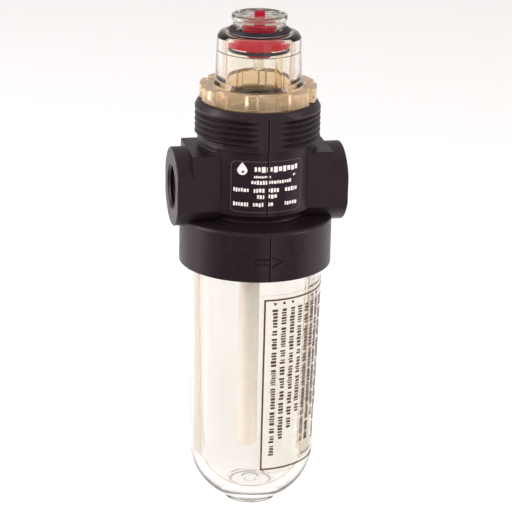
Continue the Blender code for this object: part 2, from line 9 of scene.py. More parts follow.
import bmesh
import bpy
from bpy.props import FloatProperty, FloatVectorProperty, IntProperty, PointerProperty
from mathutils import Matrix, Vector


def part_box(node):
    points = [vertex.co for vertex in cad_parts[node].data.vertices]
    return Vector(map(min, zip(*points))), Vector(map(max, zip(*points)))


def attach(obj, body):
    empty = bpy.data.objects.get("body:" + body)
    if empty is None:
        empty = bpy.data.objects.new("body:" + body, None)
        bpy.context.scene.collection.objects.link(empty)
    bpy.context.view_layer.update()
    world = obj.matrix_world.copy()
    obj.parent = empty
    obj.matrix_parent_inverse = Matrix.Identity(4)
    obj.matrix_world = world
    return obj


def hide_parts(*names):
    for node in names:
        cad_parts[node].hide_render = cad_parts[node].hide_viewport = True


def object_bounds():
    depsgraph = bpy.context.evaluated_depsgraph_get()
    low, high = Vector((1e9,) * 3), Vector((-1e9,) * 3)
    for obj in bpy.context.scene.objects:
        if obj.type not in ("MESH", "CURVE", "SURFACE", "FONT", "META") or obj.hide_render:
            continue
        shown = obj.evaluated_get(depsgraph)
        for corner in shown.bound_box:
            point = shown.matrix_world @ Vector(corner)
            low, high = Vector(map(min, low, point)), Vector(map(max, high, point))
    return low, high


bl_info = {
    "name": "Air-Line Lubricator",
    "version": (1, 0, 0),
    "blender": (4, 5, 0),
    "location": "View3D > Sidebar > Lubricator",
    "description": "Builds the body, bowl, dome and metering parts of a sight-feed lubricator",
    "category": "Object",
}

MM = 0.001
FULL_TURN = 2 * math.pi
FRONT = math.radians(-90)  # the angle round the upright axis that faces the viewer
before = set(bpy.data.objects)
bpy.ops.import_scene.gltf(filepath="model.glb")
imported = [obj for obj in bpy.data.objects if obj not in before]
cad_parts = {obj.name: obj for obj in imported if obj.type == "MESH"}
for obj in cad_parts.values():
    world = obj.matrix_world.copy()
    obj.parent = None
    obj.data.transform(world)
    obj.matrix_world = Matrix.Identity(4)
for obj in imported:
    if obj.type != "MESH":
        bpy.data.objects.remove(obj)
CAD_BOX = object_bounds()


def box(name):
    """The two corners of a node, in millimetres."""
    low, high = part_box(name)
    return low / MM, high / MM


def axis_of(low, high):
    """The foot of the upright axis through the middle of a box."""
    return Vector(((low.x + high.x) / 2, (low.y + high.y) / 2, 0))


BODY_LOW, BODY_HIGH = box("housing")
BOWL_LOW, BOWL_HIGH = box("bowl")
RING_LOW, RING_HIGH = box("retaining_ring")
DOME_LOW, DOME_HIGH = box("sight_dome")
KNOB_LOW, KNOB_HIGH = box("adjusting_knob")
SCREW_LOW, SCREW_HIGH = box("metering_screw")
BLOCK_LOW, BLOCK_HIGH = box("metering_block")
FILM_LOW, FILM_HIGH = box("bowl_sticker")
TUBE_LOW, TUBE_HIGH = box("siphon_tube")
RISER_LOW, RISER_HIGH = box("oil_riser_tube")
NOZZLE_LOW, NOZZLE_HIGH = box("drip_nozzle")
WELL_LOW, WELL_HIGH = box("drip_well")
SIPHON_AXIS = axis_of(TUBE_LOW, TUBE_HIGH)
RISER_AXIS = axis_of(RISER_LOW, RISER_HIGH)

FINE, MEDIUM, COARSE, PLAIN = 128, 64, 40, 24  # facets round a turned piece
WELD = 0.0004  # vertices nearer than this are one
INWARDS = -0.3  # a face whose slope to the axis is under this belongs to a bore
BODY_SLOT, FILM_SLOT = "black_nylon", "sticker_film"
BOWL_SLOT, DOME_SLOT, RING_SLOT = CLEAR_SLOTS = ("bowl_clear", "dome_clear", "amber_clear")


# ---------------------------------------------------------------- settings


class BodySizes(bpy.types.PropertyGroup):
    flat_y: FloatProperty(
        name="Half Width over Flats", description="From the port axis to a wrench flat",
        default=8.47 * MM, unit="LENGTH")
    block_x: FloatProperty(
        name="Half Length of Block", description="From the middle to the end of the block",
        default=16.89 * MM, unit="LENGTH")
    label_r: FloatProperty(
        name="Label Face Radius", description="Radius of the round face that carries the label",
        default=13.53 * MM, unit="LENGTH")
    thread_pitch: FloatProperty(
        name="Neck Thread Pitch", description="Rise of the panel thread in one turn",
        default=1.41 * MM, unit="LENGTH")
    thread_depth: FloatProperty(
        name="Neck Thread Depth", description="Height of the panel thread's ridge",
        default=0.72 * MM, unit="LENGTH")
    thread_turns: FloatProperty(
        name="Neck Thread Turns", description="Turns of the panel thread", default=5.0)
    port_pitch: FloatProperty(
        name="Port Thread Pitch", description="Rise of the pipe thread in one turn",
        default=0.94 * MM, unit="LENGTH")
    colour: FloatVectorProperty(
        name="Body Colour", description="Colour of the moulded body",
        default=(0.013, 0.0075, 0.0105), subtype="COLOR", min=0, max=1)


class ClearSizes(bpy.types.PropertyGroup):
    wall: FloatProperty(
        name="Bowl Wall", description="Thickness of the bowl's wall", default=2.6 * MM, unit="LENGTH")
    bowl_tint: FloatVectorProperty(
        name="Bowl Tint", description="Colour that the bowl gives to light",
        default=(0.945, 0.942, 0.91), subtype="COLOR", min=0, max=1)
    dome_tint: FloatVectorProperty(
        name="Dome Tint", description="Colour that the dome gives to light",
        default=(0.96, 0.925, 0.86), subtype="COLOR", min=0, max=1)
    ring_tint: FloatVectorProperty(
        name="Ring Tint", description="Colour that the retaining ring gives to light",
        default=(0.93, 0.74, 0.5), subtype="COLOR", min=0, max=1)
    ring_lobes: IntProperty(
        name="Ring Lobes", description="Finger lobes round the retaining ring", default=10)


class MarkSizes(bpy.types.PropertyGroup):
    film_rows: IntProperty(name="Film Rows", description="Printed rows on the bowl's film", default=9)
    row_pitch: FloatProperty(
        name="Row Pitch", description="Angle between printed rows",
        default=math.radians(8.3), subtype="ANGLE")
    ink: FloatVectorProperty(
        name="Film Ink", description="Colour of the print on the bowl's film",
        default=(0.05, 0.02, 0.015), subtype="COLOR", min=0, max=1)
    label_ink: FloatVectorProperty(
        name="Label Ink", description="Colour of the print on the body",
        default=(0.9, 0.86, 0.82), subtype="COLOR", min=0, max=1)
    red: FloatVectorProperty(
        name="Metering Red", description="Colour of the metering parts",
        default=(0.38, 0.01, 0.024), subtype="COLOR", min=0, max=1)


# ---------------------------------------------------------------- finishes


MIX_FACTOR, MIX_FIRST, MIX_SECOND, MIX_RESULT = 0, 6, 7, 2  # a colour Mix node's sockets
GRAIN_LIFT = 0.02 * MM
COLOUR_PATCH, GLOSS_PATCH = (0.35, 0.65), (0.3, 0.7)  # noise levels between which a patch changes
# PAINTED_RIM_CLEARNESS and PAINTED_RIM_GLOSS are the transmission and specular level where the rim of painted
# shade is full
CLEAR_PATCHES, CLEAR_IOR, CLEAR_GLOSS, PAINTED_RIM_CLEARNESS, PAINTED_RIM_GLOSS = 120, 1.57, 0.5, 0.1, 0.1

PLAIN_FINISHES = {
    # colour, second colour, roughness, its spread, patches per metre, bump, grains per metre, other sockets
    # nylon_shade: a near-black, nearly glossless copy of the body nylon, painted shade beside the parting
    # lines; nylon_flash: a lighter copy of it, a painted highlight on the flash lines
    "nylon_shade": ((0.003, 0.002, 0.002), (0.005, 0.003, 0.003), 0.8, 0.05, 900, 0.2, 7000,
                    {"Specular IOR Level": 0.05}),
    "nylon_flash": ((0.035, 0.026, 0.03), (0.022, 0.016, 0.019), 0.4, 0.06, 900, 0.2, 7000),
    "nylon_natural": ((0.76, 0.71, 0.62), (0.72, 0.66, 0.57), 0.42, 0.06, 500, 0.2, 6000,
                      {"Subsurface Weight": 0.4, "Subsurface Scale": 2 * MM, "IOR": 1.53}),
    "rubber_black": ((0.012, 0.006, 0.012), (0.022, 0.012, 0.02), 0.45, 0.08, 1500, 0.3, 9000,
                     {"Specular IOR Level": 0.3}),
    "film_clear": ((0.985, 0.975, 0.95), (0.96, 0.945, 0.9), 0.06, 0.03, 200, 0, 0,
                   {"Transmission Weight": 1.0, "IOR": 1.35}),
    "border_ink": ((0.06, 0.02, 0.013), (0.1, 0.035, 0.02), 0.5, 0.08, 1200, 0.1, 9000),
    "label_line": ((0.09, 0.08, 0.085), (0.05, 0.045, 0.048), 0.4, 0.08, 2500, 0.2, 9000),
    "brass_turned": ((0.72, 0.52, 0.22), (0.6, 0.42, 0.17), 0.28, 0.08, 1500, 0.2, 9000, {"Metallic": 1.0}),
    "steel_bright": ((0.66, 0.66, 0.67), (0.56, 0.56, 0.58), 0.22, 0.08, 1500, 0.2, 9000, {"Metallic": 1.0}),
    "floor_pale": ((0.93, 0.93, 0.93), (0.91, 0.91, 0.91), 0.7, 0.05, 3, 0, 0,
                   {"Emission Color": (1.0, 1.0, 1.0, 1.0), "Emission Strength": 0.13}),
    "mat_dark": ((0.05, 0.045, 0.04), (0.04, 0.036, 0.032), 0.8, 0.05, 3, 0, 0),
    "mat_warm": ((0.78, 0.73, 0.65), (0.74, 0.69, 0.61), 0.8, 0.05, 3, 0, 0),
}
CHOSEN_FINISHES = {
    # settings, colour, share of it that the second colour has, then as above from the roughness on
    "nylon_black": ("lubricator_body", "colour", 1.25, 0.38, 0.05, 700, 0.35, 7000,
                    {"IOR": 1.5, "Specular IOR Level": 0.32, "Specular Tint": (1.0, 0.84, 0.93, 1.0)}),
    "acetal_red": ("lubricator_marks", "red", 0.82, 0.45, 0.06, 1200, 0.15, 9000,
                   {"IOR": 1.48, "Specular IOR Level": 0.12}),
    "film_ink": ("lubricator_marks", "ink", 1.6, 0.5, 0.08, 2500, 0.1, 9000),
    "label_ink": ("lubricator_marks", "label_ink", 0.75, 0.55, 0.08, 3500, 0.2, 9000),
}
CLEAR_FINISHES = {
    # tint, painted edge colour (the rim of painted shade), facing weights where it starts, is full and (in a
    # bore) stops, roughness, body
    "clear_bowl_wall": ("bowl_tint", (0.6, 0.5, 0.38), 0.8, 1.0, None, 0.01, 0.0),
    "clear_bowl_bore": ("bowl_tint", (0.5, 0.36, 0.24), 0.208, 0.226, 0.234, 0.01, 0.0),
    "clear_dome_wall": ("dome_tint", (0.4, 0.23, 0.1), 0.74, 0.97, None, 0.01, 0.0),
    "clear_dome_bore": ("dome_tint", (0.38, 0.2, 0.09), 0.195, 0.224, 0.236, 0.01, 0.0),
    "ring_amber": ("ring_tint", (0.32, 0.17, 0.06), 0.62, 0.95, None, 0.05, 0.14),
}


def node(tree, kind, **inputs):
    made = tree.nodes.new(kind)
    for name, value in inputs.items():
        made.inputs[name.replace("_", " ")].default_value = value
    return made


def grain(tree, cells, detail=3.0):
    """A noise on object coordinates, in cells per metre."""
    place = tree.nodes.new("ShaderNodeTexCoord")
    noise = node(tree, "ShaderNodeTexNoise", Scale=cells, Detail=detail)
    tree.links.new(place.outputs["Object"], noise.inputs["Vector"])
    return noise.outputs["Fac"]


def ramp(tree, factor, start, end, first=0.0, last=1.0):
    made = node(tree, "ShaderNodeMapRange", From_Min=start, From_Max=end, To_Min=first, To_Max=last)
    tree.links.new(factor, made.inputs["Value"])
    return made.outputs["Result"]


def times(tree, first, second):
    made = tree.nodes.new("ShaderNodeMath")
    made.operation = "MULTIPLY"
    tree.links.new(first, made.inputs[0])
    tree.links.new(second, made.inputs[1])
    return made.outputs[0]


def blend_colours(tree, factor, first, second):
    """A mix of two colours, each given as numbers or as the socket that it comes from."""
    mix = tree.nodes.new("ShaderNodeMix")
    mix.data_type = "RGBA"
    for socket, colour in ((MIX_FIRST, first), (MIX_SECOND, second)):
        if isinstance(colour, tuple):
            mix.inputs[socket].default_value = (*colour, 1)
        else:
            tree.links.new(colour, mix.inputs[socket])
    tree.links.new(factor, mix.inputs[MIX_FACTOR])
    return mix.outputs[MIX_RESULT]


def shade(colour, factor):
    return tuple(min(1.0, channel * factor) for channel in colour)


def finish(name, colour, other, roughness, spread, cells, bump, bump_cells, sockets=()):
    """A finish whose colour and gloss wander a little over the piece, with a fine surface grain."""
    made = bpy.data.materials.new(name)
    made.use_nodes = True
    tree = made.node_tree
    shader = tree.nodes["Principled BSDF"]
    wander = grain(tree, cells)
    tree.links.new(blend_colours(tree, ramp(tree, wander, *COLOUR_PATCH), colour, other),
                   shader.inputs["Base Color"])
    tree.links.new(ramp(tree, wander, *GLOSS_PATCH, roughness - spread, roughness + spread),
                   shader.inputs["Roughness"])
    for socket, value in dict(sockets).items():
        shader.inputs[socket].default_value = value
    if bump:
        lift = node(tree, "ShaderNodeBump", Strength=bump, Distance=GRAIN_LIFT)
        tree.links.new(grain(tree, bump_cells, 2.0), lift.inputs["Height"])
        tree.links.new(lift.outputs["Normal"], shader.inputs["Normal"])
    return made


def clear_plastic(name, tint, edge, start, end, stop, roughness, body):
    """Clear moulded plastic that turns to a painted edge colour from start to end of the facing weight: a rim
    of painted shade, in place of the longer path through the edge and the darker surroundings that it bends.
    Given a stop, it is a bore's, which shows only a thin painted line where light just fails to cross from
    wall to bore."""
    made = finish(name, tint, shade(tint, 0.985), roughness, roughness / 2, CLEAR_PATCHES, 0, 0,
                  {"IOR": CLEAR_IOR, "Specular Tint": (0.5, 0.5, 0.5, 1.0)})
    tree = made.node_tree
    shader = tree.nodes["Principled BSDF"]
    wall = shader.inputs["Base Color"].links[0].from_socket
    facing = node(tree, "ShaderNodeLayerWeight", Blend=0.5).outputs["Facing"]
    # rim: the facing weight paints shade on the edges, mixing in the edge colour and taking away clearness and
    # gloss
    rim = ramp(tree, facing, start, end)
    if stop:
        inside = tree.nodes.new("ShaderNodeNewGeometry").outputs["Backfacing"]
        rim = times(tree, times(tree, rim, ramp(tree, facing, end, stop, 1.0, 0.0)), inside)
    tree.links.new(blend_colours(tree, rim, wall, edge), shader.inputs["Base Color"])
    tree.links.new(ramp(tree, rim, 0.0, 1.0, 1.0 - body, PAINTED_RIM_CLEARNESS),
                   shader.inputs["Transmission Weight"])
    tree.links.new(ramp(tree, rim, 0.0, 1.0, CLEAR_GLOSS, PAINTED_RIM_GLOSS),
                   shader.inputs["Specular IOR Level"])
    return made


def finish_of(name):
    """The finish of this name, made at its first use."""
    found = bpy.data.materials.get(name)
    if found:
        return found
    scene = bpy.context.scene
    if name in CLEAR_FINISHES:
        tint, *rest = CLEAR_FINISHES[name]
        return clear_plastic(name, tuple(getattr(scene.lubricator_clear, tint)), *rest)
    if name in CHOSEN_FINISHES:
        group, setting, share, *rest = CHOSEN_FINISHES[name]
        colour = tuple(getattr(getattr(scene, group), setting))
        return finish(name, colour, shade(colour, share), *rest)
    return finish(name, *PLAIN_FINISHES[name])


# ---------------------------------------------------------------- shaping helpers


def arc(centre, radii, start, end, steps):
    """Points (r, z) along a part of an ellipse, angles in degrees from +r towards +z."""
    points = []
    for step in range(steps + 1):
        angle = math.radians(start + (end - start) * step / steps)
        points.append((centre[0] + radii[0] * math.cos(angle), centre[1] + radii[1] * math.sin(angle)))
    return points


def filleted(corners, steps=4):
    """Points (r, z) of an outline whose corners (r, z, fillet radius) are rounded, all but the two ends."""
    points = []
    last = len(corners) - 1
    for index, (r, z, radius) in enumerate(corners):
        here = Vector((r, z))
        if radius == 0 or index in (0, last):
            points.append((r, z))
            continue
        before = (Vector(corners[index - 1][:2]) - here).normalized()
        after = (Vector(corners[index + 1][:2]) - here).normalized()
        half = before.angle(after) / 2
        setback = radius / math.tan(half)
        centre = here + (before + after).normalized() * (radius / math.sin(half))
        start = here + before * setback - centre
        end = here + after * setback - centre
        sweep = start.angle_signed(end)
        for step in range(steps + 1):
            points.append(tuple(centre + Matrix.Rotation(-sweep * step / steps, 2) @ start))
    return points


def spun(profile, around=FINE, closed=False, place=(0, 0, 0)):
    """A bmesh turned from (r, z) points about an upright axis through place."""
    bm = bmesh.new()
    place = Vector(place)
    verts = [bm.verts.new(place + Vector((r, 0, z))) for r, z in profile]
    edges = [bm.edges.new(pair) for pair in zip(verts, verts[1:])]
    if closed:
        edges.append(bm.edges.new((verts[-1], verts[0])))
    bmesh.ops.spin(bm, geom=verts + edges, cent=place, axis=(0, 0, 1), angle=FULL_TURN, steps=around,
                   use_merge=True)
    bmesh.ops.remove_doubles(bm, verts=bm.verts, dist=WELD)
    bmesh.ops.recalc_face_normals(bm, faces=bm.faces)
    return bm


def turned(corners, around=FINE, closed=False, place=(0, 0, 0), steps=4):
    """A bmesh turned from an outline's corners (r, z, fillet radius)."""
    if not closed:
        return spun(filleted(corners, steps), around, place=place)
    r, z, _ = corners[0]
    return spun(filleted([*corners, (r, z, 0)], steps)[:-1], around, True, place)


def round_edges(bm, edges, width, segments=3):
    bmesh.ops.bevel(bm, geom=edges, offset=width, offset_type="OFFSET", affect="EDGES", segments=segments,
                    profile=0.5, material=-1)


def block(low, high, bevel=0.0, segments=3):
    bm = bmesh.new()
    low, high = Vector(low), Vector(high)
    place = Matrix.Translation((low + high) / 2) @ Matrix.Diagonal((*(high - low), 1))
    bmesh.ops.create_cube(bm, size=1, matrix=place)
    if bevel:
        round_edges(bm, bm.edges[:], bevel, segments)
    return bm


def bar(radius, start, end, around=MEDIUM):
    """A round bar from start to end."""
    bm = bmesh.new()
    start, end = Vector(start), Vector(end)
    along = end - start
    place = Matrix.Translation((start + end) / 2) @ along.to_track_quat("Z", "Y").to_matrix().to_4x4()
    bmesh.ops.create_cone(bm, cap_ends=True, segments=around, radius1=radius, radius2=radius,
                          depth=along.length, matrix=place @ Matrix.Rotation(math.pi / around, 4, "Z"))
    return bm


def slice_flats(bm, half_width):
    """Cuts a closed shape flat at the front and the back."""
    for side in (-1, 1):
        cut = bmesh.ops.bisect_plane(
            bm, geom=bm.verts[:] + bm.edges[:] + bm.faces[:], dist=WELD, clear_outer=True,
            plane_co=(0, side * half_width, 0), plane_no=(0, side, 0))
        rim = [item for item in cut["geom_cut"] if isinstance(item, bmesh.types.BMEdge)]
        bmesh.ops.holes_fill(bm, edges=rim, sides=0)


def lift(bm, faces, move):
    """Gives flat faces a thickness: a copy moved away, with walls between."""
    raised = bmesh.ops.extrude_face_region(bm, geom=faces, use_keep_orig=True)["geom"]
    bmesh.ops.translate(bm, vec=move, verts=[v for v in raised if isinstance(v, bmesh.types.BMVert)])


def solid(name, bm):
    """Turns a bmesh in millimetres into a linked object in metres, without a finish."""
    bm.transform(Matrix.Scale(MM, 4))
    bmesh.ops.recalc_face_normals(bm, faces=bm.faces)
    if bm.calc_volume(signed=True) < 0:
        bmesh.ops.reverse_faces(bm, faces=bm.faces)
    mesh = bpy.data.meshes.new(name)
    bm.to_mesh(mesh)
    bm.free()
    obj = bpy.data.objects.new(name, mesh)
    bpy.context.scene.collection.objects.link(obj)
    return obj


def settle(target, operations):
    """Applies booleans to target one after the other, each with a bmesh or an object, which it uses up."""
    tools = []
    for index, (operation, shape) in enumerate(operations):
        tool = solid(f"tool_{index}", shape) if isinstance(shape, bmesh.types.BMesh) else shape
        tools.append(tool)
        modifier = target.modifiers.new(f"step_{index}", "BOOLEAN")
        modifier.operation = operation
        modifier.object = tool
        modifier.solver = "EXACT"
    bpy.context.view_layer.update()
    shaped = bpy.data.meshes.new_from_object(target.evaluated_get(bpy.context.evaluated_depsgraph_get()))
    target.modifiers.clear()
    old = target.data
    target.data = shaped
    for mesh in [old] + [tool.data for tool in tools]:
        bpy.data.meshes.remove(mesh)
    target.data.name = target.name
    return target


def clean(obj, dist=0.002 * MM):
    """Welds what the booleans left too near."""
    bm = bmesh.new()
    bm.from_mesh(obj.data)
    bmesh.ops.remove_doubles(bm, verts=bm.verts, dist=dist)
    bmesh.ops.dissolve_degenerate(bm, dist=dist, edges=bm.edges)
    bm.to_mesh(obj.data)
    bm.free()
    return obj


def dress(obj, body, slot, finish_name, *replaced, sharp=32):
    """Smooths a finished piece, gives it its finish and sets it to ride with its body."""
    if slot in CLEAR_SLOTS or finish_name == "film_clear":
        obj.visible_shadow = False
        obj.visible_diffuse = False
    obj.data.shade_smooth()
    obj.data.set_sharp_from_angle(angle=math.radians(sharp))
    even = obj.modifiers.new("even_normals", "WEIGHTED_NORMAL")
    even.keep_sharp = True
    obj.data.materials.clear()
    obj.data.materials.append(finish_of(finish_name))
    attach(obj, body)
    if replaced:
        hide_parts(*replaced)
    return obj


def line_bore(obj, finish_name, high=1000.0):
    """Gives the faces below a height that look at the axis the finish of a bore."""
    obj.data.materials.append(finish_of(finish_name))
    for face in obj.data.polygons:
        out = Vector((face.center.x, face.center.y, 0))
        if face.center.z < high * MM and face.normal.dot(out) < INWARDS * out.length:
            face.material_index = 1


def ridge(profile, root_r, pitch, turns, start_angle, steps_a_turn=96):
    """A helical ridge: a closed (r, z) profile swept round the axis and upwards."""
    bm = bmesh.new()
    turn = Matrix.Rotation(start_angle, 3, "Z")
    verts = [bm.verts.new(turn @ Vector((root_r + r, 0, z))) for r, z in profile]
    edges = [bm.edges.new(pair) for pair in zip(verts, verts[1:] + verts[:1])]
    bmesh.ops.spin(bm, geom=verts + edges, cent=(0, 0, 0), axis=(0, 0, 1), dvec=(0, 0, pitch / steps_a_turn),
                   angle=FULL_TURN * turns, steps=int(round(steps_a_turn * turns)))
    bmesh.ops.holes_fill(bm, edges=[edge for edge in bm.edges if edge.is_boundary], sides=0)
    return bm


def wrap(bm, radius, start=FRONT, radius_at=None):
    """Bends flat shapes, drawn as x along an arc of this radius, y outwards and z up, round the upright axis.
    A surface that narrows gives its radius at each height."""
    for vert in bm.verts:
        out = (radius_at(vert.co.z) if radius_at else radius) + vert.co.y
        angle = start + vert.co.x / radius
        vert.co = Vector((out * math.cos(angle), out * math.sin(angle), vert.co.z))


def add_bar(bm, low, high, thick, base=0.0, step=0.8):
    """Adds a thin flat bar between two corners (x, z), cut into short stretches so that it can be wrapped."""
    size = Vector((high[0] - low[0], thick, high[1] - low[1]))
    middle = Vector(((low[0] + high[0]) / 2, base + thick / 2, (low[1] + high[1]) / 2))
    place = Matrix.Translation(middle) @ Matrix.Diagonal((*size, 1))
    made = bmesh.ops.create_cube(bm, size=1, matrix=place)
    edges = {edge for vert in made["verts"] for edge in vert.link_edges}
    for axis, length in ((0, size.x), (2, size.z)):
        cuts = int(length / step)
        along = [edge for edge in edges if edge.is_valid
                 and abs((edge.verts[0].co - edge.verts[1].co)[axis]) > length * 0.9]
        if cuts and along:
            bmesh.ops.subdivide_edges(bm, edges=along, cuts=cuts, use_grid_fill=True)


def between(start, end, step):
    """Points that cut a straight stretch into short ones, its ends left out."""
    start, end = Vector(start), Vector(end)
    count = int((end - start).length / step)
    return [tuple(start.lerp(end, (index + 1) / (count + 1))) for index in range(count)]


def add_frame(bm, low, high, corner, width, thick, step=0.9):
    """Adds a thin rounded rectangle, drawn as x along the arc and z up."""
    centres = ((high[0] - corner, high[1] - corner, 0), (low[0] + corner, high[1] - corner, 90),
               (low[0] + corner, low[1] + corner, 180), (high[0] - corner, low[1] + corner, 270))
    outline = []
    for x, z, start in centres:
        points = arc((x, z), (corner, corner), start, start + 90, 6)
        if outline:
            outline += between(outline[-1], points[0], step)
        outline += points
    outline += between(outline[-1], outline[0], step)
    verts = [bm.verts.new((x, 0, z)) for x, z in outline]
    edges = [bm.edges.new(pair) for pair in zip(verts, verts[1:] + verts[:1])]
    middle = Vector(((low[0] + high[0]) / 2, 0, (low[1] + high[1]) / 2))
    half = Vector(((high[0] - low[0]) / 2, 0, (high[1] - low[1]) / 2))
    inner = bmesh.ops.extrude_edge_only(bm, edges=edges)["geom"]
    for vert in (item for item in inner if isinstance(item, bmesh.types.BMVert)):
        offset = vert.co - middle
        vert.co = middle + Vector((offset.x * (1 - width / half.x), 0, offset.z * (1 - width / half.z)))
    lift(bm, list({face for edge in edges for face in edge.link_faces}), (0, thick, 0))


def add_drop(bm, centre, radius, thick):
    """Adds a flat oil drop: a disc drawn up to a point."""
    place = Matrix.Translation((centre[0], thick / 2, centre[1])) @ Matrix.Rotation(math.pi / 2, 4, "X")
    made = bmesh.ops.create_cone(bm, cap_ends=True, segments=PLAIN, radius1=radius, radius2=radius,
                                 depth=thick, matrix=place)
    for vert in made["verts"]:
        up = (vert.co.z - centre[1]) / radius
        if up > 0:
            vert.co.x = centre[0] + (vert.co.x - centre[0]) * (1 - up) ** 0.6
            vert.co.z = centre[1] + radius * up * 1.45


# ---------------------------------------------------------------- body


NECK_TOP = BODY_HIGH.z
COLLAR_BOTTOM = BODY_LOW.z
COLLAR_R = BODY_HIGH.y
PORT_X = BODY_HIGH.x
THREAD_CREST_R = 14.88
NECK_FLAT = 13.96  # from the axis to the flats across the neck's thread
BOSS_R = 9.4
AIRWAY_R = 4.4
COLLAR_TOP = -7.0
CEILING = -8.0
LABEL_LOW, LABEL_TOP = -4.54, 11.8
NECK_FLOOR = 13.8
BEYOND = 30  # past every side of the body


def ported_block(sizes):
    """The two ported bosses, cut to their flats, and what joins them: slab, core and the band over them."""
    flat, slab_x, slab_low = sizes.flat_y / MM, sizes.block_x / MM, -4.1
    core_x, core_top = 11.3, 11.6
    band_low, band_top, foot_r, lip_r, top_r = 5, 11.7, 14.0, 14.25, 13.9
    boss = turned([(0, -PORT_X, 0), (BOSS_R, -PORT_X, 0.35), (BOSS_R, PORT_X, 0.35), (0, PORT_X, 0)])
    bmesh.ops.transform(boss, matrix=Matrix.Rotation(math.pi / 2, 4, "Y"), verts=boss.verts)
    slice_flats(boss, flat)
    slab = block((-slab_x, -flat - 0.01, slab_low), (slab_x, flat + 0.01, BOSS_R), 0.3)
    core = block((-core_x, -flat, 0), (core_x, flat, core_top), 0.15, 2)
    band = turned([(0, band_low, 0), (foot_r, band_low, 0), (foot_r, 9.8, 0), (lip_r, 10.1, 0.15),
                   (lip_r, 10.5, 0.15), (top_r, 10.8, 0), (top_r, band_top, 0), (0, band_top, 0)])
    slice_flats(band, flat)
    return boss, [slab, core, band]


def threaded_neck(sizes):
    """The neck's root cylinder with its rounded lead-in, the helical ridge round it and the two flats."""
    depth, pitch = sizes.thread_depth / MM, sizes.thread_pitch / MM
    root = THREAD_CREST_R - depth
    bottom = 11.2
    neck = turned([(0, bottom, 0), (root + 0.2, bottom, 0.2), (root, bottom + 0.45, 0), (root, 18.35, 0.1),
                   (THREAD_CREST_R, 18.75, 0.25), (THREAD_CREST_R, 19.35, 0.7),
                   (THREAD_CREST_R - 0.75, NECK_TOP, 0.5), (0, NECK_TOP, 0)], steps=5)
    foot, half, shoulder, crest = 0.4, pitch / 2 - 0.06, 0.14, 0.08
    outline = [(-foot, -half), (0, -half), (depth - 0.06, -shoulder), (depth, -crest),
               (depth, crest), (depth - 0.06, shoulder), (0, half), (-foot, half)]
    first_turn = 12.0
    thread = ridge([(r, z + first_turn) for r, z in outline], root, pitch, sizes.thread_turns, FRONT)
    return settle(solid("neck", neck), [
        ("UNION", thread),
        ("DIFFERENCE", block((-BEYOND, -BEYOND, 0), (BEYOND, -NECK_FLAT, BEYOND))),
        ("DIFFERENCE", block((-BEYOND, NECK_FLAT, 0), (BEYOND, BEYOND, BEYOND)))])


def arrow_groove():
    """The outline of a flow arrow, to be cut into the collar's front."""
    middle, depth, width = -13.95, 0.3, 0.32
    tail, neck, tip = -3.75, -0.15, 3.2
    shaft, head = 0.8, 1.65
    bm = bmesh.new()
    outline = [(tail, -shaft), (neck, -shaft), (neck, -head), (tip, 0), (neck, head), (neck, shaft),
               (tail, shaft)]
    face = bm.faces.new([bm.verts.new((x, -depth, middle + z)) for x, z in outline])
    bm.normal_update()
    bmesh.ops.inset_region(bm, faces=[face], thickness=width, use_even_offset=True, use_boundary=True)
    bmesh.ops.delete(bm, geom=[face], context="FACES_ONLY")
    long_edges = [edge for edge in bm.edges if edge.calc_length() > 1.0]
    bmesh.ops.subdivide_edges(bm, edges=long_edges, cuts=4, use_grid_fill=False)
    lift(bm, bm.faces[:], (0, 2 * depth, 0))
    bmesh.ops.triangulate(bm, faces=bm.faces)
    wrap(bm, COLLAR_R)
    return bm


def collar():
    return turned([(0, -4.0, 0), (12.2, -4.0, 0), (11.6, COLLAR_TOP + 0.6, 0.5), (13, COLLAR_TOP, 0.4),
                   (COLLAR_R, COLLAR_TOP, 0.9), (COLLAR_R, COLLAR_BOTTOM, 0.12), (0, COLLAR_BOTTOM, 0)],
                  steps=6)


def port_cutter(side, pitch):
    """A tapering bore with the grooves of its pipe thread."""
    mouth, end, depth = 5.16, 4.85, 10.3
    crest, root, last = 0.22, 0.3, 1.2
    points = [(0, 1), (mouth + 1.4, 1), (mouth + 0.35, 0), (mouth, -0.45)]
    for turn in range(int((depth - last) / pitch)):
        z = -last / 2 - turn * pitch
        radius = mouth + (end - mouth) * -z / depth
        points += [(radius - crest, z), (radius + root, z - pitch / 2)]
    points += [(end - crest, -depth + 0.2), (end - crest, -depth), (0, -depth)]
    bm = spun(points, MEDIUM)
    place = Matrix.Translation((side * PORT_X, 0, 0)) @ Matrix.Rotation(side * math.pi / 2, 4, "Y")
    bmesh.ops.transform(bm, matrix=place, verts=bm.verts)
    return bm


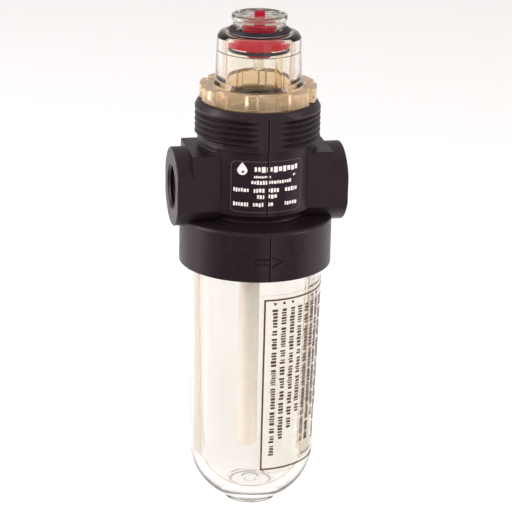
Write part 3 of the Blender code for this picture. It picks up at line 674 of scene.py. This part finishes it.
def body_bores(sizes):
    """Everything that is hollow inside the body, from the neck down to the bowl's bore."""
    gap = 0.3
    well_r = (WELL_HIGH.x - WELL_LOW.x) / 2 + gap
    well_low, well_top = WELL_LOW.z - gap + 0.1, 8.7
    neck_r, neck_end = 12.55, NECK_TOP + 0.2
    bowl_r, bowl_end = 16.45, COLLAR_BOTTOM - 0.2
    port_pitch = sizes.port_pitch / MM
    x, y, _ = SIPHON_AXIS
    return [
        # the neck, the drip well with the groove round it and its outlet, and the airway
        turned([(0, NECK_FLOOR, 0), (neck_r, NECK_FLOOR, 0.3), (neck_r, NECK_TOP - 0.4, 0),
                (neck_r + 0.6, neck_end, 0), (0, neck_end, 0)]),
        bar(well_r, (0, 0, WELL_LOW.z - gap), (0, 0, NECK_FLOOR + 1), FINE),
        spun([(AIRWAY_R, well_low), (6.6, well_low), (6.6, well_top), (AIRWAY_R, well_top)], MEDIUM, True),
        bar(1.3, (0, 0, 3), (0, 0, well_low), COARSE),
        bar(AIRWAY_R, (-PORT_X + 5, 0, 0), (PORT_X - 5, 0, 0)),
        # the two ports and the flap's pocket
        port_cutter(1, port_pitch),
        port_cutter(-1, port_pitch),
        block((-7.7, -2.75, 3), (-2.2, 2.75, 6.8)),
        # the bowl's bore, the siphon adapter's seat, the oil passage above it and the jet's seat
        turned([(0, CEILING, 0), (bowl_r, CEILING, 0.4), (bowl_r, COLLAR_BOTTOM + 0.35, 0),
                (bowl_r + 0.35, bowl_end, 0), (0, bowl_end, 0)]),
        bar(2.6, (x, y, CEILING - 1), (x, y, -4.9), COARSE),
        bar(0.8, (x, y, -6), (x, y, 9.2), PLAIN),
        bar(1.85, (-7.5, -3.2, CEILING - 1), (-7.5, -3.2, -2.4), PLAIN),
    ]


class LUBRICATOR_OT_body(bpy.types.Operator):
    """Models the black body: ported block, threaded neck, label face and collar"""

    bl_idname = "lubricator.body"
    bl_label = "Body"

    def execute(self, context):
        sizes = context.scene.lubricator_body
        label_r = sizes.label_r / MM
        neck = threaded_neck(sizes)
        boss, joined = ported_block(sizes)
        face = turned([(0, LABEL_LOW, 0), (label_r, LABEL_LOW, 0.25), (label_r, LABEL_TOP, 0),
                       (0, LABEL_TOP, 0)])
        body = settle(solid("body", boss),
                      [("UNION", shape) for shape in (*joined, face, collar(), neck)]
                      + [("DIFFERENCE", shape) for shape in (*body_bores(sizes), arrow_groove())])
        dress(clean(body), "body", BODY_SLOT, "nylon_black", "housing", sharp=28)
        return {"FINISHED"}


class LUBRICATOR_OT_parting_lines(bpy.types.Operator):
    """Adds the fine flash lines that the mould's halves leave down the front and the back, their lighter
    colour a painted highlight, each with a strip of painted shade beside it
    """

    bl_idname = "lubricator.parting_lines"
    bl_label = "Parting Lines"

    def execute(self, context):
        stretches = ((COLLAR_R, COLLAR_BOTTOM + 0.05, COLLAR_TOP - 0.9, "collar"),
                     (context.scene.lubricator_body.label_r / MM, -4.2, 11.2, "label"),
                     (NECK_FLAT, 11.3, 19.2, "neck"))
        # The 'step' strip is painted shade beside each flash line, and the flash's lighter colour is a painted
        # highlight
        strips = (("step", -0.28, -0.02, "nylon_shade"), ("flash", -0.02, 0.12, "nylon_flash"))
        thick, sunk, waver = 0.18, 0.1, 0.04
        for side, facing in ((-1, "front"), (1, "rear")):
            for radius, low, high, place in stretches:
                onto = Matrix.Translation((0, side * radius, 0)) @ Matrix.Diagonal((1, side, 1, 1))
                for kind, left, right, look in strips:
                    bm = bmesh.new()
                    add_bar(bm, (left, low), (right, high), thick, -sunk, 0.9)
                    bmesh.ops.transform(bm, matrix=onto, verts=bm.verts)
                    uneven = random.Random(len(place) * 7 + side)
                    for vert in bm.verts:
                        vert.co.x += uneven.uniform(-waver, waver)
                    dress(solid(f"parting_{kind}_{place}_{facing}", bm), "body", BODY_SLOT, look)
        return {"FINISHED"}


# ---------------------------------------------------------------- print on the body


PRINT_THICK = 0.03
LEAST_STRETCH, LABEL_GAP = 0.3, 0.2  # shortest stretch worth a mark; gap as a share of the mark's height
LABEL_ROWS = (  # height of the row's middle, height of its marks, then stretches along the arc
    (7.15, 1.5, ((-3.3, 8.0),)),
    (5.4, 0.6, ((-3.4, 0.9), (6.4, 7.4))),
    (4.05, 1.0, ((-4.0, 5.9),)),
    (2.1, 1.05, ((-8.3, -4.6), (-3.4, -0.9), (-0.1, 3.0), (4.2, 7.6))),
    (0.6, 1.05, ((-2.6, -0.9), (-0.1, 2.6))),
    (-1.35, 1.05, ((-8.3, -4.5), (-3.5, -0.9), (-0.1, 1.2), (4.2, 7.6))),
)


class LUBRICATOR_OT_body_label(bpy.types.Operator):
    """Prints the outline, an oil-drop sign and rows of plain marks on the label face"""

    bl_idname = "lubricator.body_label"
    bl_label = "Body Label"

    def execute(self, context):
        radius = context.scene.lubricator_body.label_r / MM
        marks = bmesh.new()
        uneven = random.Random(4)
        for middle, height, stretches in LABEL_ROWS:
            for start, end in stretches:
                x = start
                while x < end - LEAST_STRETCH:
                    width = min(uneven.uniform(0.3, 0.62) * height, end - x)
                    low = middle - height / 2 * uneven.uniform(0.55, 1)
                    high = middle + height / 2 * uneven.uniform(0.7, 1)
                    add_bar(marks, (x, low), (x + width, high), PRINT_THICK)
                    x += width + height * LABEL_GAP
        add_drop(marks, (-6.2, 7.0), 1.25, PRINT_THICK)
        wrap(marks, radius)
        dress(solid("label_marks", marks), "body", BODY_SLOT, "label_ink")

        outline = bmesh.new()
        add_frame(outline, (-9.0, -3.3), (9.0, 9.1), 1.3, 0.14, PRINT_THICK)
        wrap(outline, radius)
        dress(solid("label_outline", outline), "body", BODY_SLOT, "label_line")
        return {"FINISHED"}


# ---------------------------------------------------------------- bowl and its film


SHOULDER_R, SHOULDER_Z = 16.13, -19.3
ROUND_R, ROUND_Z = 14.93, -67.5  # where the draft ends and the round end starts
END_DEPTH = 13.7
FOOT_R = 6.53


def bowl_r(z):
    """Outer radius of the bowl at a height, on its draft or its round end."""
    if z >= ROUND_Z:
        return SHOULDER_R + (ROUND_R - SHOULDER_R) * (SHOULDER_Z - z) / (SHOULDER_Z - ROUND_Z)
    down = min(1.0, (ROUND_Z - z) / END_DEPTH)
    return ROUND_R * math.sqrt(1 - down ** 2)


def bowl_outline(wall):
    """The bowl's points (r, z), from the middle of its floor up the inside and down the outside."""
    floor, foot, thread_r = BOWL_LOW.z + 3.4, BOWL_LOW.z, 15.9
    inner = filleted([(0, floor - 0.15, 0), (2.0, floor - 0.15, 0.1), (2.2, floor, 0.1), (5.6, floor, 0.15),
                      (5.9, floor + 0.45, 0.2), (6.6, floor + 0.75, 0)])
    curve = arc((0, ROUND_Z), (ROUND_R - wall, END_DEPTH - 3.0), -90, -3, 40)
    inner += [point for point in curve if point[0] > 7.0]
    inner += [(ROUND_R - wall, ROUND_Z), (SHOULDER_R - wall, SHOULDER_Z)]
    outer = filleted([(thread_r - wall, BOWL_HIGH.z, 0), (thread_r, BOWL_HIGH.z, 0.3),
                      (thread_r, SHOULDER_Z + 0.8, 0.2), (SHOULDER_R, SHOULDER_Z, 0.3),
                      (ROUND_R, ROUND_Z, 0)])
    curve = arc((0, ROUND_Z), (ROUND_R, END_DEPTH), -3, -90, 40)
    outer += [point for point in curve if point[0] > FOOT_R + 0.25]
    outer += filleted([(*outer[-1], 0), (FOOT_R, foot + 0.7, 0.25), (FOOT_R, foot, 0.2),
                       (FOOT_R - 1.0, foot, 0.15), (FOOT_R - 1.5, foot + 0.6, 0.2), (1.6, foot + 0.6, 0.1),
                       (1.4, foot + 0.4, 0.1), (0, foot + 0.4, 0)])[1:]
    return inner + outer


class LUBRICATOR_OT_bowl(bpy.types.Operator):
    """Turns the clear oil bowl with its round end and foot"""

    bl_idname = "lubricator.bowl"
    bl_label = "Bowl"

    def execute(self, context):
        bowl = solid("clear_bowl", spun(bowl_outline(context.scene.lubricator_clear.wall / MM)))
        dress(bowl, "bowl", BOWL_SLOT, "clear_bowl_wall", "bowl", sharp=40)
        line_bore(bowl, "clear_bowl_bore")
        return {"FINISHED"}


FILM_START = math.radians(-97.0)
FILM_SWEEP = math.radians(105.0)
FILM_R = bowl_r((FILM_LOW.z + FILM_HIGH.z) / 2)
FILM_OFF = 0.03  # gap to the bowl
FILM_THICK = 0.09
FIRST_ROW = math.radians(-83.6) - FILM_START
ROW_TALL, BOLD_TALL = 1.35, 1.55
MARK_GAP, WORD_GAP = 0.17, 0.6  # shares of a row's height
ROW_LENGTHS = (37.5, 33.5, 31.0, 27.5, 35.5, 36.0, 30.5, 37.0, 29.0)
BOLD_ROWS = (5,)
BULLET_ROWS = (0, 1, 2, 5, 6)


class LUBRICATOR_OT_bowl_film(bpy.types.Operator):
    """Wraps the clear printed film round the bowl: border, bullets and rows of plain marks"""

    bl_idname = "lubricator.bowl_film"
    bl_label = "Bowl Film"

    def execute(self, context):
        top, bottom, width = FILM_HIGH.z, FILM_LOW.z, FILM_SWEEP * FILM_R
        face = FILM_OFF + FILM_THICK
        film = bmesh.new()
        add_bar(film, (0, bottom), (width, top), FILM_THICK, FILM_OFF, 0.9)
        wrap(film, FILM_R, FILM_START, bowl_r)
        dress(solid("film", film), "bowl", FILM_SLOT, "film_clear", "bowl_sticker")

        margin, corner, line = 1.0, 0.15, 0.44
        border = bmesh.new()
        add_frame(border, (margin, bottom + margin), (width - margin, top - margin), corner, line, PRINT_THICK)
        for vert in border.verts:
            vert.co.y += face
        wrap(border, FILM_R, FILM_START, bowl_r)
        dress(solid("film_border", border), "bowl", FILM_SLOT, "border_ink")

        rows = self.printed_rows(context.scene.lubricator_marks, top - 3.6, face)
        wrap(rows, FILM_R, FILM_START, bowl_r)
        dress(solid("film_rows", rows), "bowl", FILM_SLOT, "film_ink")
        return {"FINISHED"}

    @staticmethod
    def printed_rows(marks, start_z, face):
        """Rows of marks as uneven as words, read from the bowl's top down."""
        bm = bmesh.new()
        uneven = random.Random(11)
        for row in range(marks.film_rows):
            x = (FIRST_ROW + row * marks.row_pitch) * FILM_R
            tall = BOLD_TALL if row in BOLD_ROWS else ROW_TALL
            if row in BULLET_ROWS:
                add_bar(bm, (x - 0.3, start_z + 1.1), (x + 0.3, start_z + 1.7), PRINT_THICK, face)
            z = start_z
            end = start_z - ROW_LENGTHS[row % len(ROW_LENGTHS)]
            marks_left = uneven.randint(3, 9)
            while z > end:
                long = uneven.uniform(0.22, 0.5) * tall
                low = x - tall / 2 * uneven.uniform(0.5, 1)
                add_bar(bm, (low, z - long), (x + tall / 2, z), PRINT_THICK, face)
                marks_left -= 1
                z -= long + tall * (MARK_GAP if marks_left else WORD_GAP)
                if not marks_left:
                    marks_left = uneven.randint(2, 9)
        return bm


# ---------------------------------------------------------------- ring, dome and knob


class LUBRICATOR_OT_retaining_ring(bpy.types.Operator):
    """Models the lobed amber ring with its plain round skirt"""

    bl_idname = "lubricator.retaining_ring"
    bl_label = "Retaining Ring"

    def execute(self, context):
        lobes = context.scene.lubricator_clear.ring_lobes
        outer, notch = RING_HIGH.x, RING_HIGH.x - 1.2
        bottom, top = 20.95, RING_HIGH.z
        hole, skirt_r = 10.95, 12.25
        pitch = FULL_TURN / lobes
        half_lobe = math.radians(11.5)
        half_notch = pitch / 2 - half_lobe - math.radians(2.5)
        corners = []
        for lobe in range(lobes):
            middle = lobe * pitch + FRONT
            corners += [(outer, middle + half_lobe * (step / 4 - 1)) for step in range(9)]
            corners += [(notch, middle + pitch / 2 + half_notch * (step / 2 - 1)) for step in range(5)]
        bm = bmesh.new()
        face = bm.faces.new([bm.verts.new((r * math.cos(a), r * math.sin(a), bottom)) for r, a in corners])
        lift(bm, [face], (0, 0, top - bottom))
        level = [edge for edge in bm.edges if abs(edge.verts[0].co.z - edge.verts[1].co.z) < 0.01]
        round_edges(bm, level, 0.3)
        ring = settle(solid("amber_ring", bm), [
            ("UNION", bar(skirt_r, (0, 0, RING_LOW.z), (0, 0, bottom + 1), FINE)),
            ("DIFFERENCE", turned([(0, RING_LOW.z - 1, 0), (hole, RING_LOW.z - 1, 0), (hole, top - 0.5, 0),
                                   (hole + 0.7, top + 0.2, 0), (0, top + 0.2, 0)]))])
        dress(clean(ring), "ring", RING_SLOT, "ring_amber", "retaining_ring", sharp=35)
        return {"FINISHED"}


class LUBRICATOR_OT_sight_dome(bpy.types.Operator):
    """Turns the clear dome with its shoulder, counterbore and clamped flange"""

    bl_idname = "lubricator.sight_dome"
    bl_label = "Sight Dome"

    def execute(self, context):
        bore, relief, relief_z = 7.7, 7.85, 32.4
        stem_hole, ceiling, seat = 5.2, 36.0, 36.4
        rim_in, rim_out, rim = 7.4, 7.9, DOME_HIGH.z - 0.5
        shoulder_r, shoulder = 9.84, 36.3
        base_r, flange_r, flange_top = 10.65, DOME_HIGH.x, 17.6
        outline = [(stem_hole, ceiling, 0), (stem_hole, seat, 0.12), (rim_in, seat, 0.15),
                   (rim_in, rim, 0.12), (rim_out, rim, 0.2), (shoulder_r - 0.5, shoulder + 0.35, 0.8),
                   (shoulder_r + 0.03, shoulder - 0.5, 0.35), (10.25, 25.6, 0.6), (base_r, 24.7, 0.3),
                   (base_r, flange_top, 0.2), (flange_r, flange_top, 0.25), (flange_r, DOME_LOW.z, 0.25),
                   (bore + 0.5, DOME_LOW.z, 0.2), (bore, DOME_LOW.z + 0.8, 0.3),
                   (bore, relief_z - 0.2, 0.15), (relief, relief_z, 0.1), (relief, ceiling, 0.2)]
        dome = solid("clear_dome", turned(outline, closed=True))
        dress(dome, "dome", DOME_SLOT, "clear_dome_wall", "sight_dome", sharp=50)
        line_bore(dome, "clear_dome_bore", ceiling)
        return {"FINISHED"}


class LUBRICATOR_OT_knob(bpy.types.Operator):
    """Turns the clear adjusting knob and cuts the slot for the screw's tab"""

    bl_idname = "lubricator.knob"
    bl_label = "Adjusting Knob"

    def execute(self, context):
        bore, bore_top, shelf = 4.1, 40.1, 38.25
        stem, neck_r, rim_r = 4.9, 6.3, KNOB_HIGH.x
        low, top = KNOB_LOW.z, KNOB_HIGH.z
        slot_x, slot_y = 1.475, 0.9
        knob = solid("clear_knob", turned(
            [(0, bore_top + 0.4, 0), (3.2, bore_top + 0.45, 1.0), (5.2, top - 0.2, 0.5), (5.8, top, 0.3),
             (rim_r - 0.1, top - 0.1, 0.35), (rim_r, top - 0.9, 0.4), (neck_r, top - 1.7, 0.5),
             (neck_r, shelf, 0.3), (stem, shelf, 0.1), (stem, low, 0.15), (bore, low, 0.15),
             (bore, bore_top, 0.2), (0, bore_top, 0)], MEDIUM, steps=5))
        settle(knob, [("DIFFERENCE", block((-slot_x, -slot_y, bore_top - 1), (slot_x, slot_y, top + 1)))])
        dress(clean(knob), "knob", DOME_SLOT, "clear_dome_wall", "adjusting_knob", sharp=45)
        return {"FINISHED"}


# ---------------------------------------------------------------- metering parts


def pipe(low, high, bore, fillet, around):
    """A plain pipe that fills a box in height and width."""
    radius = (high.x - low.x) / 2
    return turned([(bore, high.z, 0), (radius, high.z, fillet), (radius, low.z, fillet),
                   (bore, low.z, fillet)], around, True, axis_of(low, high))


class LUBRICATOR_OT_metering_parts(bpy.types.Operator):
    """Turns the red metering screw and block, the drip nozzle and the riser"""

    bl_idname = "lubricator.metering_parts"
    bl_label = "Metering Parts"

    def execute(self, context):
        head_r, head_low, head_top = SCREW_HIGH.x, 37.2, 39.6
        groove_r, groove_low, groove_top = head_r - 0.25, 38.2, 38.45
        shank, cone_top, tip = 1.6, 33.0, SCREW_LOW.z
        tab_x, tab_y = 1.175, 0.6
        screw = solid("red_screw", turned(
            [(0, head_top, 0), (head_r, head_top, 0.2), (head_r, groove_top + 0.1, 0.1),
             (groove_r, groove_top, 0.1), (groove_r, groove_low, 0.1), (head_r, groove_low - 0.1, 0.1),
             (head_r, head_low, 0.2), (shank, head_low, 0.15), (shank, cone_top, 0.1), (0.5, tip, 0.1),
             (0, tip, 0)], MEDIUM))
        tab = block((-tab_x, -tab_y, head_top - 0.5), (tab_x, tab_y, SCREW_HIGH.z), 0.12)
        settle(screw, [("UNION", tab)])
        dress(clean(screw), "screw", "red_acetal", "acetal_red", "metering_screw")

        disc_r, disc_low, disc_top = BLOCK_HIGH.x, 33.7, BLOCK_HIGH.z
        bore, seat_bore, boss = 1.9, 0.8, 3.0
        socket, socket_top = NOZZLE_HIGH.x + 0.3, NOZZLE_HIGH.z + 0.3
        disc = solid("red_block", turned(
            [(bore, disc_top, 0), (disc_r, disc_top, 0.15), (disc_r, disc_low, 0.15), (boss, disc_low, 0.3),
             (boss, BLOCK_LOW.z, 0.3), (socket, BLOCK_LOW.z, 0.1), (socket, socket_top, 0.1),
             (seat_bore, socket_top, 0), (seat_bore, tip - 0.2, 0), (bore, cone_top, 0.1)], MEDIUM, True))
        x, y, _ = RISER_AXIS
        riser_top = RISER_HIGH.z
        settle(disc, [
            ("DIFFERENCE", bar(1.2, (x, y, disc_low - 1), (x, y, riser_top + 0.3), 32)),
            ("DIFFERENCE", block((0, y - 0.5, riser_top), (x, y + 0.5, disc_top + 1)))])
        dress(clean(disc), "dome", "red_acetal", "acetal_red", "metering_block")

        for name, low, high, hole, replaced in (
                ("drip_tip", NOZZLE_LOW, NOZZLE_HIGH, 0.65, "drip_nozzle"),
                ("riser", RISER_LOW, RISER_HIGH, 0.55, "oil_riser_tube")):
            dress(solid(name, pipe(low, high, hole, 0.1, COARSE)), "dome", DOME_SLOT, "clear_dome_wall",
                  replaced)
        return {"FINISHED"}


# ---------------------------------------------------------------- seals, siphon line and inner fittings


SEALS = (  # node, body
    ("knob_seal", "dome"),
    ("metering_block_seal", "dome"),
    ("dome_seal", "dome"),
    ("bowl_seal", "bowl_thread"),
    ("drip_well_seal", "body"),
    ("siphon_adapter_seal", "body"),
)


class LUBRICATOR_OT_seals(bpy.types.Operator):
    """Turns each rubber ring to the size of its place in the frame"""

    bl_idname = "lubricator.seals"
    bl_label = "Seals"

    def execute(self, context):
        for name, body in SEALS:
            low, high = box(name)
            section = (high.z - low.z) / 2
            radius = (high.x - low.x) / 2 - section
            bm = spun(arc((radius, 0), (section, section), 90, -255, 23), FINE if radius > 5 else MEDIUM,
                      True, (low + high) / 2)
            dress(solid(f"{name}_ring", bm), body, "nitrile_rubber", "rubber_black", name)
        return {"FINISHED"}


class LUBRICATOR_OT_siphon_line(bpy.types.Operator):
    """Turns the siphon tube, its adapter under the ceiling and the check ball"""

    bl_idname = "lubricator.siphon_line"
    bl_label = "Siphon Line"

    def execute(self, context):
        tube = pipe(TUBE_LOW, TUBE_HIGH, 1.8, 0.12, MEDIUM)
        dress(solid("siphon_pipe", tube), "body", "natural_nylon", "nylon_natural", "siphon_tube")

        low, high = box("siphon_adapter")
        flange, outer = (high.x - low.x) / 2, (TUBE_HIGH.x - TUBE_LOW.x) / 2
        spigot, barb, hole, seat = 2.3, 1.5, 0.75, 1.6
        flange_top, flange_low, stop_low, first_barb, barb_pitch = -9.3, -10.5, -12.3, -13.2, 1.2
        outline = [(seat, high.z, 0), (spigot, high.z, 0.2), (spigot, flange_top, 0),
                   (flange, flange_top, 0.2), (flange, flange_low, 0.2), (outer, flange_low, 0.2),
                   (outer, stop_low, 0.2), (barb, stop_low, 0)]
        for ring in range(3):
            z = first_barb - ring * barb_pitch
            outline += [(barb, z + 0.3, 0), (barb + 0.2, z, 0), (barb - 0.05, z - 0.5, 0)]
        outline += [(barb - 0.2, low.z, 0), (hole, low.z, 0), (hole, flange_low - 0.7, 0),
                    (seat, flange_low - 0.1, 0)]
        adapter = turned(outline, MEDIUM, True, SIPHON_AXIS)
        dress(solid("siphon_fitting", adapter), "body", "natural_nylon", "nylon_natural", "siphon_adapter")

        low, high = box("check_ball")
        ball = bmesh.new()
        bmesh.ops.create_uvsphere(ball, u_segments=MEDIUM, v_segments=32, radius=(high.z - low.z) / 2,
                                  matrix=Matrix.Translation((low + high) / 2))
        dress(solid("steel_ball", ball), "ball", "bright_steel", "steel_bright", "check_ball")
        return {"FINISHED"}


FITTINGS = (  # node that keeps its shape, finish
    ("ball_stop", "steel_bright"),
    ("drip_well", "nylon_natural"),
    ("flow_sensor", "nylon_natural"),
    ("flow_sensor_pin", "steel_bright"),
    ("bowl_pressure_jet", "brass_turned"),
)


class LUBRICATOR_OT_fittings(bpy.types.Operator):
    """Gives the small inner fittings their finishes"""

    bl_idname = "lubricator.fittings"
    bl_label = "Inner Fittings"

    def execute(self, context):
        for name, look in FITTINGS:
            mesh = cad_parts[name].data
            mesh.materials.clear()
            mesh.materials.append(finish_of(look))
        return {"FINISHED"}


# ---------------------------------------------------------------- stage


FLOOR_Z = CAD_BOX[0][2] / MM
FLOOR_R = 2500
FLOOR_GAP, MAT_LIFT = 0.05, 0.25
CAMERA_AZIMUTH = math.radians(-12.2)
CAMERA_ELEVATION = math.radians(18.72)
CAMERA_ROLL = math.radians(1.22)
CAMERA_DISTANCE = 546.6 * MM
CAMERA_AIM = (0.33 * MM, -18.5 * MM)  # aside and up from the origin
CAMERA_LENS = 159.4
MATS = (  # middle, from the camera's side; sweep; whether it darkens gloss or warms what the clear edges bend
    (-33, 94, True), (57, 46, True),
    (-122.5, 36, False), (-57.5, 36, False), (57.5, 36, False), (122.5, 36, False))
MAT_REACH = (35, 1200)
SOFT_BOXES = (  # name, azimuth, elevation, distance, sides, watts, colour, whether gloss shows it
    ("top_box", 180, 78, 2.2, (3.0, 3.0), 11.0, (1.0, 1.0, 1.0), True),
    ("front_box", -12, 40, 1.2, (1.0, 1.0), 9.0, (1.0, 0.98, 0.95), False),
    ("right_box", 62, 14, 0.8, (0.2, 0.7), 2.5, (1.0, 0.86, 0.94), True),
    ("left_box", -98, 14, 0.8, (0.3, 0.7), 4.5, (1.0, 0.86, 0.94), True),
)
SKY_LOW, SKY_HIGH = (0.62, 0.605, 0.585), (0.42, 0.41, 0.395)


def towards(azimuth, elevation):
    """The direction from the object to a viewer; azimuth 0 is the front."""
    return Vector((math.sin(azimuth) * math.cos(elevation), -math.cos(azimuth) * math.cos(elevation),
                   math.sin(elevation)))


class LUBRICATOR_OT_stage(bpy.types.Operator):
    """Sets the pale floor, the soft lights and the camera"""

    bl_idname = "lubricator.stage"
    bl_label = "Stage"

    def execute(self, context):
        self.floor()
        self.mats()
        self.sky(context)
        self.lights(context)
        self.camera(context)
        context.scene.view_settings.view_transform = "Standard"
        return {"FINISHED"}

    @staticmethod
    def floor():
        bm = bmesh.new()
        bmesh.ops.create_circle(bm, cap_ends=True, segments=96, radius=FLOOR_R,
                                matrix=Matrix.Translation((0, 0, FLOOR_Z - FLOOR_GAP)))
        obj = solid("floor", bm)
        obj.data.materials.append(finish_of("floor_pale"))

    @staticmethod
    def mats():
        """Mats out of the camera's sight: dark ones deepen the gloss, warm ones draw the clear edges."""
        for index, (middle, sweep, gloss) in enumerate(MATS):
            sweep = math.radians(sweep)
            start = CAMERA_AZIMUTH - math.pi / 2 + math.radians(middle) - sweep / 2
            along = Vector((math.cos(start), math.sin(start), 0))
            bm = bmesh.new()
            up = Vector((0, 0, FLOOR_Z + MAT_LIFT))
            ends = [bm.verts.new(along * reach + up) for reach in MAT_REACH]
            edge = bm.edges.new(ends)
            bmesh.ops.spin(bm, geom=ends + [edge], cent=(0, 0, 0), axis=(0, 0, 1), angle=sweep, steps=12)
            obj = solid(f"mat_{index}", bm)
            obj.data.materials.append(finish_of("mat_dark" if gloss else "mat_warm"))
            obj.visible_camera = obj.visible_shadow = obj.visible_diffuse = False
            obj.visible_glossy = gloss
            obj.visible_transmission = not gloss

    @staticmethod
    def sky(context):
        world = bpy.data.worlds.new("studio")
        world.use_nodes = True
        tree = world.node_tree
        place = tree.nodes.new("ShaderNodeTexCoord")
        split = tree.nodes.new("ShaderNodeSeparateXYZ")
        tree.links.new(place.outputs["Generated"], split.inputs[0])
        colour = blend_colours(tree, ramp(tree, split.outputs["Z"], 0.0, 0.9), SKY_LOW, SKY_HIGH)
        tree.links.new(colour, tree.nodes["Background"].inputs["Color"])
        context.scene.world = world

    @staticmethod
    def lights(context):
        for name, azimuth, elevation, distance, sides, watts, colour, gloss in SOFT_BOXES:
            light = bpy.data.lights.new(name, "AREA")
            light.shape = "RECTANGLE"
            light.size, light.size_y = sides
            light.energy = watts
            light.color = colour
            obj = bpy.data.objects.new(name, light)
            back = towards(math.radians(azimuth), math.radians(elevation))
            obj.location = back * distance
            obj.rotation_euler = back.to_track_quat("Z", "Y").to_euler()
            obj.visible_transmission = False
            obj.visible_glossy = gloss
            context.scene.collection.objects.link(obj)

    @staticmethod
    def camera(context):
        data = bpy.data.cameras.new("camera")
        data.lens = CAMERA_LENS
        data.clip_start = 0.01
        obj = bpy.data.objects.new("camera", data)
        back = towards(CAMERA_AZIMUTH, CAMERA_ELEVATION)
        right = Vector((math.cos(CAMERA_AZIMUTH), math.sin(CAMERA_AZIMUTH), 0))
        up = back.cross(right)
        aim = right * CAMERA_AIM[0] + Vector((0, 0, CAMERA_AIM[1]))
        rolled_right = right * math.cos(CAMERA_ROLL) + up * math.sin(CAMERA_ROLL)
        rolled_up = up * math.cos(CAMERA_ROLL) - right * math.sin(CAMERA_ROLL)
        turn = Matrix((rolled_right, rolled_up, back)).transposed()
        obj.matrix_world = Matrix.Translation(aim + back * CAMERA_DISTANCE) @ turn.to_4x4()
        context.scene.collection.objects.link(obj)
        context.scene.camera = obj


# ---------------------------------------------------------------- panel and registration


OPERATORS = (
    LUBRICATOR_OT_body,
    LUBRICATOR_OT_parting_lines,
    LUBRICATOR_OT_body_label,
    LUBRICATOR_OT_bowl,
    LUBRICATOR_OT_bowl_film,
    LUBRICATOR_OT_retaining_ring,
    LUBRICATOR_OT_sight_dome,
    LUBRICATOR_OT_knob,
    LUBRICATOR_OT_metering_parts,
    LUBRICATOR_OT_seals,
    LUBRICATOR_OT_siphon_line,
    LUBRICATOR_OT_fittings,
    LUBRICATOR_OT_stage,
)
SETTINGS = {"lubricator_body": BodySizes, "lubricator_clear": ClearSizes, "lubricator_marks": MarkSizes}


class LUBRICATOR_PT_panel(bpy.types.Panel):
    bl_idname = "LUBRICATOR_PT_panel"
    bl_label = "Air-Line Lubricator"
    bl_space_type = "VIEW_3D"
    bl_region_type = "UI"
    bl_category = "Lubricator"

    def draw(self, context):
        for operator in OPERATORS:
            self.layout.operator(operator.bl_idname)
        for group in (getattr(context.scene, name) for name in SETTINGS):
            for name in group.bl_rna.properties.keys():
                if name not in {"rna_type", "name"}:
                    self.layout.prop(group, name)


CLASSES = (*SETTINGS.values(), *OPERATORS, LUBRICATOR_PT_panel)


def register():
    for cls in CLASSES:
        bpy.utils.register_class(cls)
    for name, group in SETTINGS.items():
        setattr(bpy.types.Scene, name, PointerProperty(type=group))


def unregister():
    for name in SETTINGS:
        delattr(bpy.types.Scene, name)
    for cls in reversed(CLASSES):
        bpy.utils.unregister_class(cls)


def main():
    register()
    for operator in OPERATORS:
        category, name = operator.bl_idname.split(".")
        getattr(getattr(bpy.ops, category), name)()


if __name__ == "__main__":
    main()
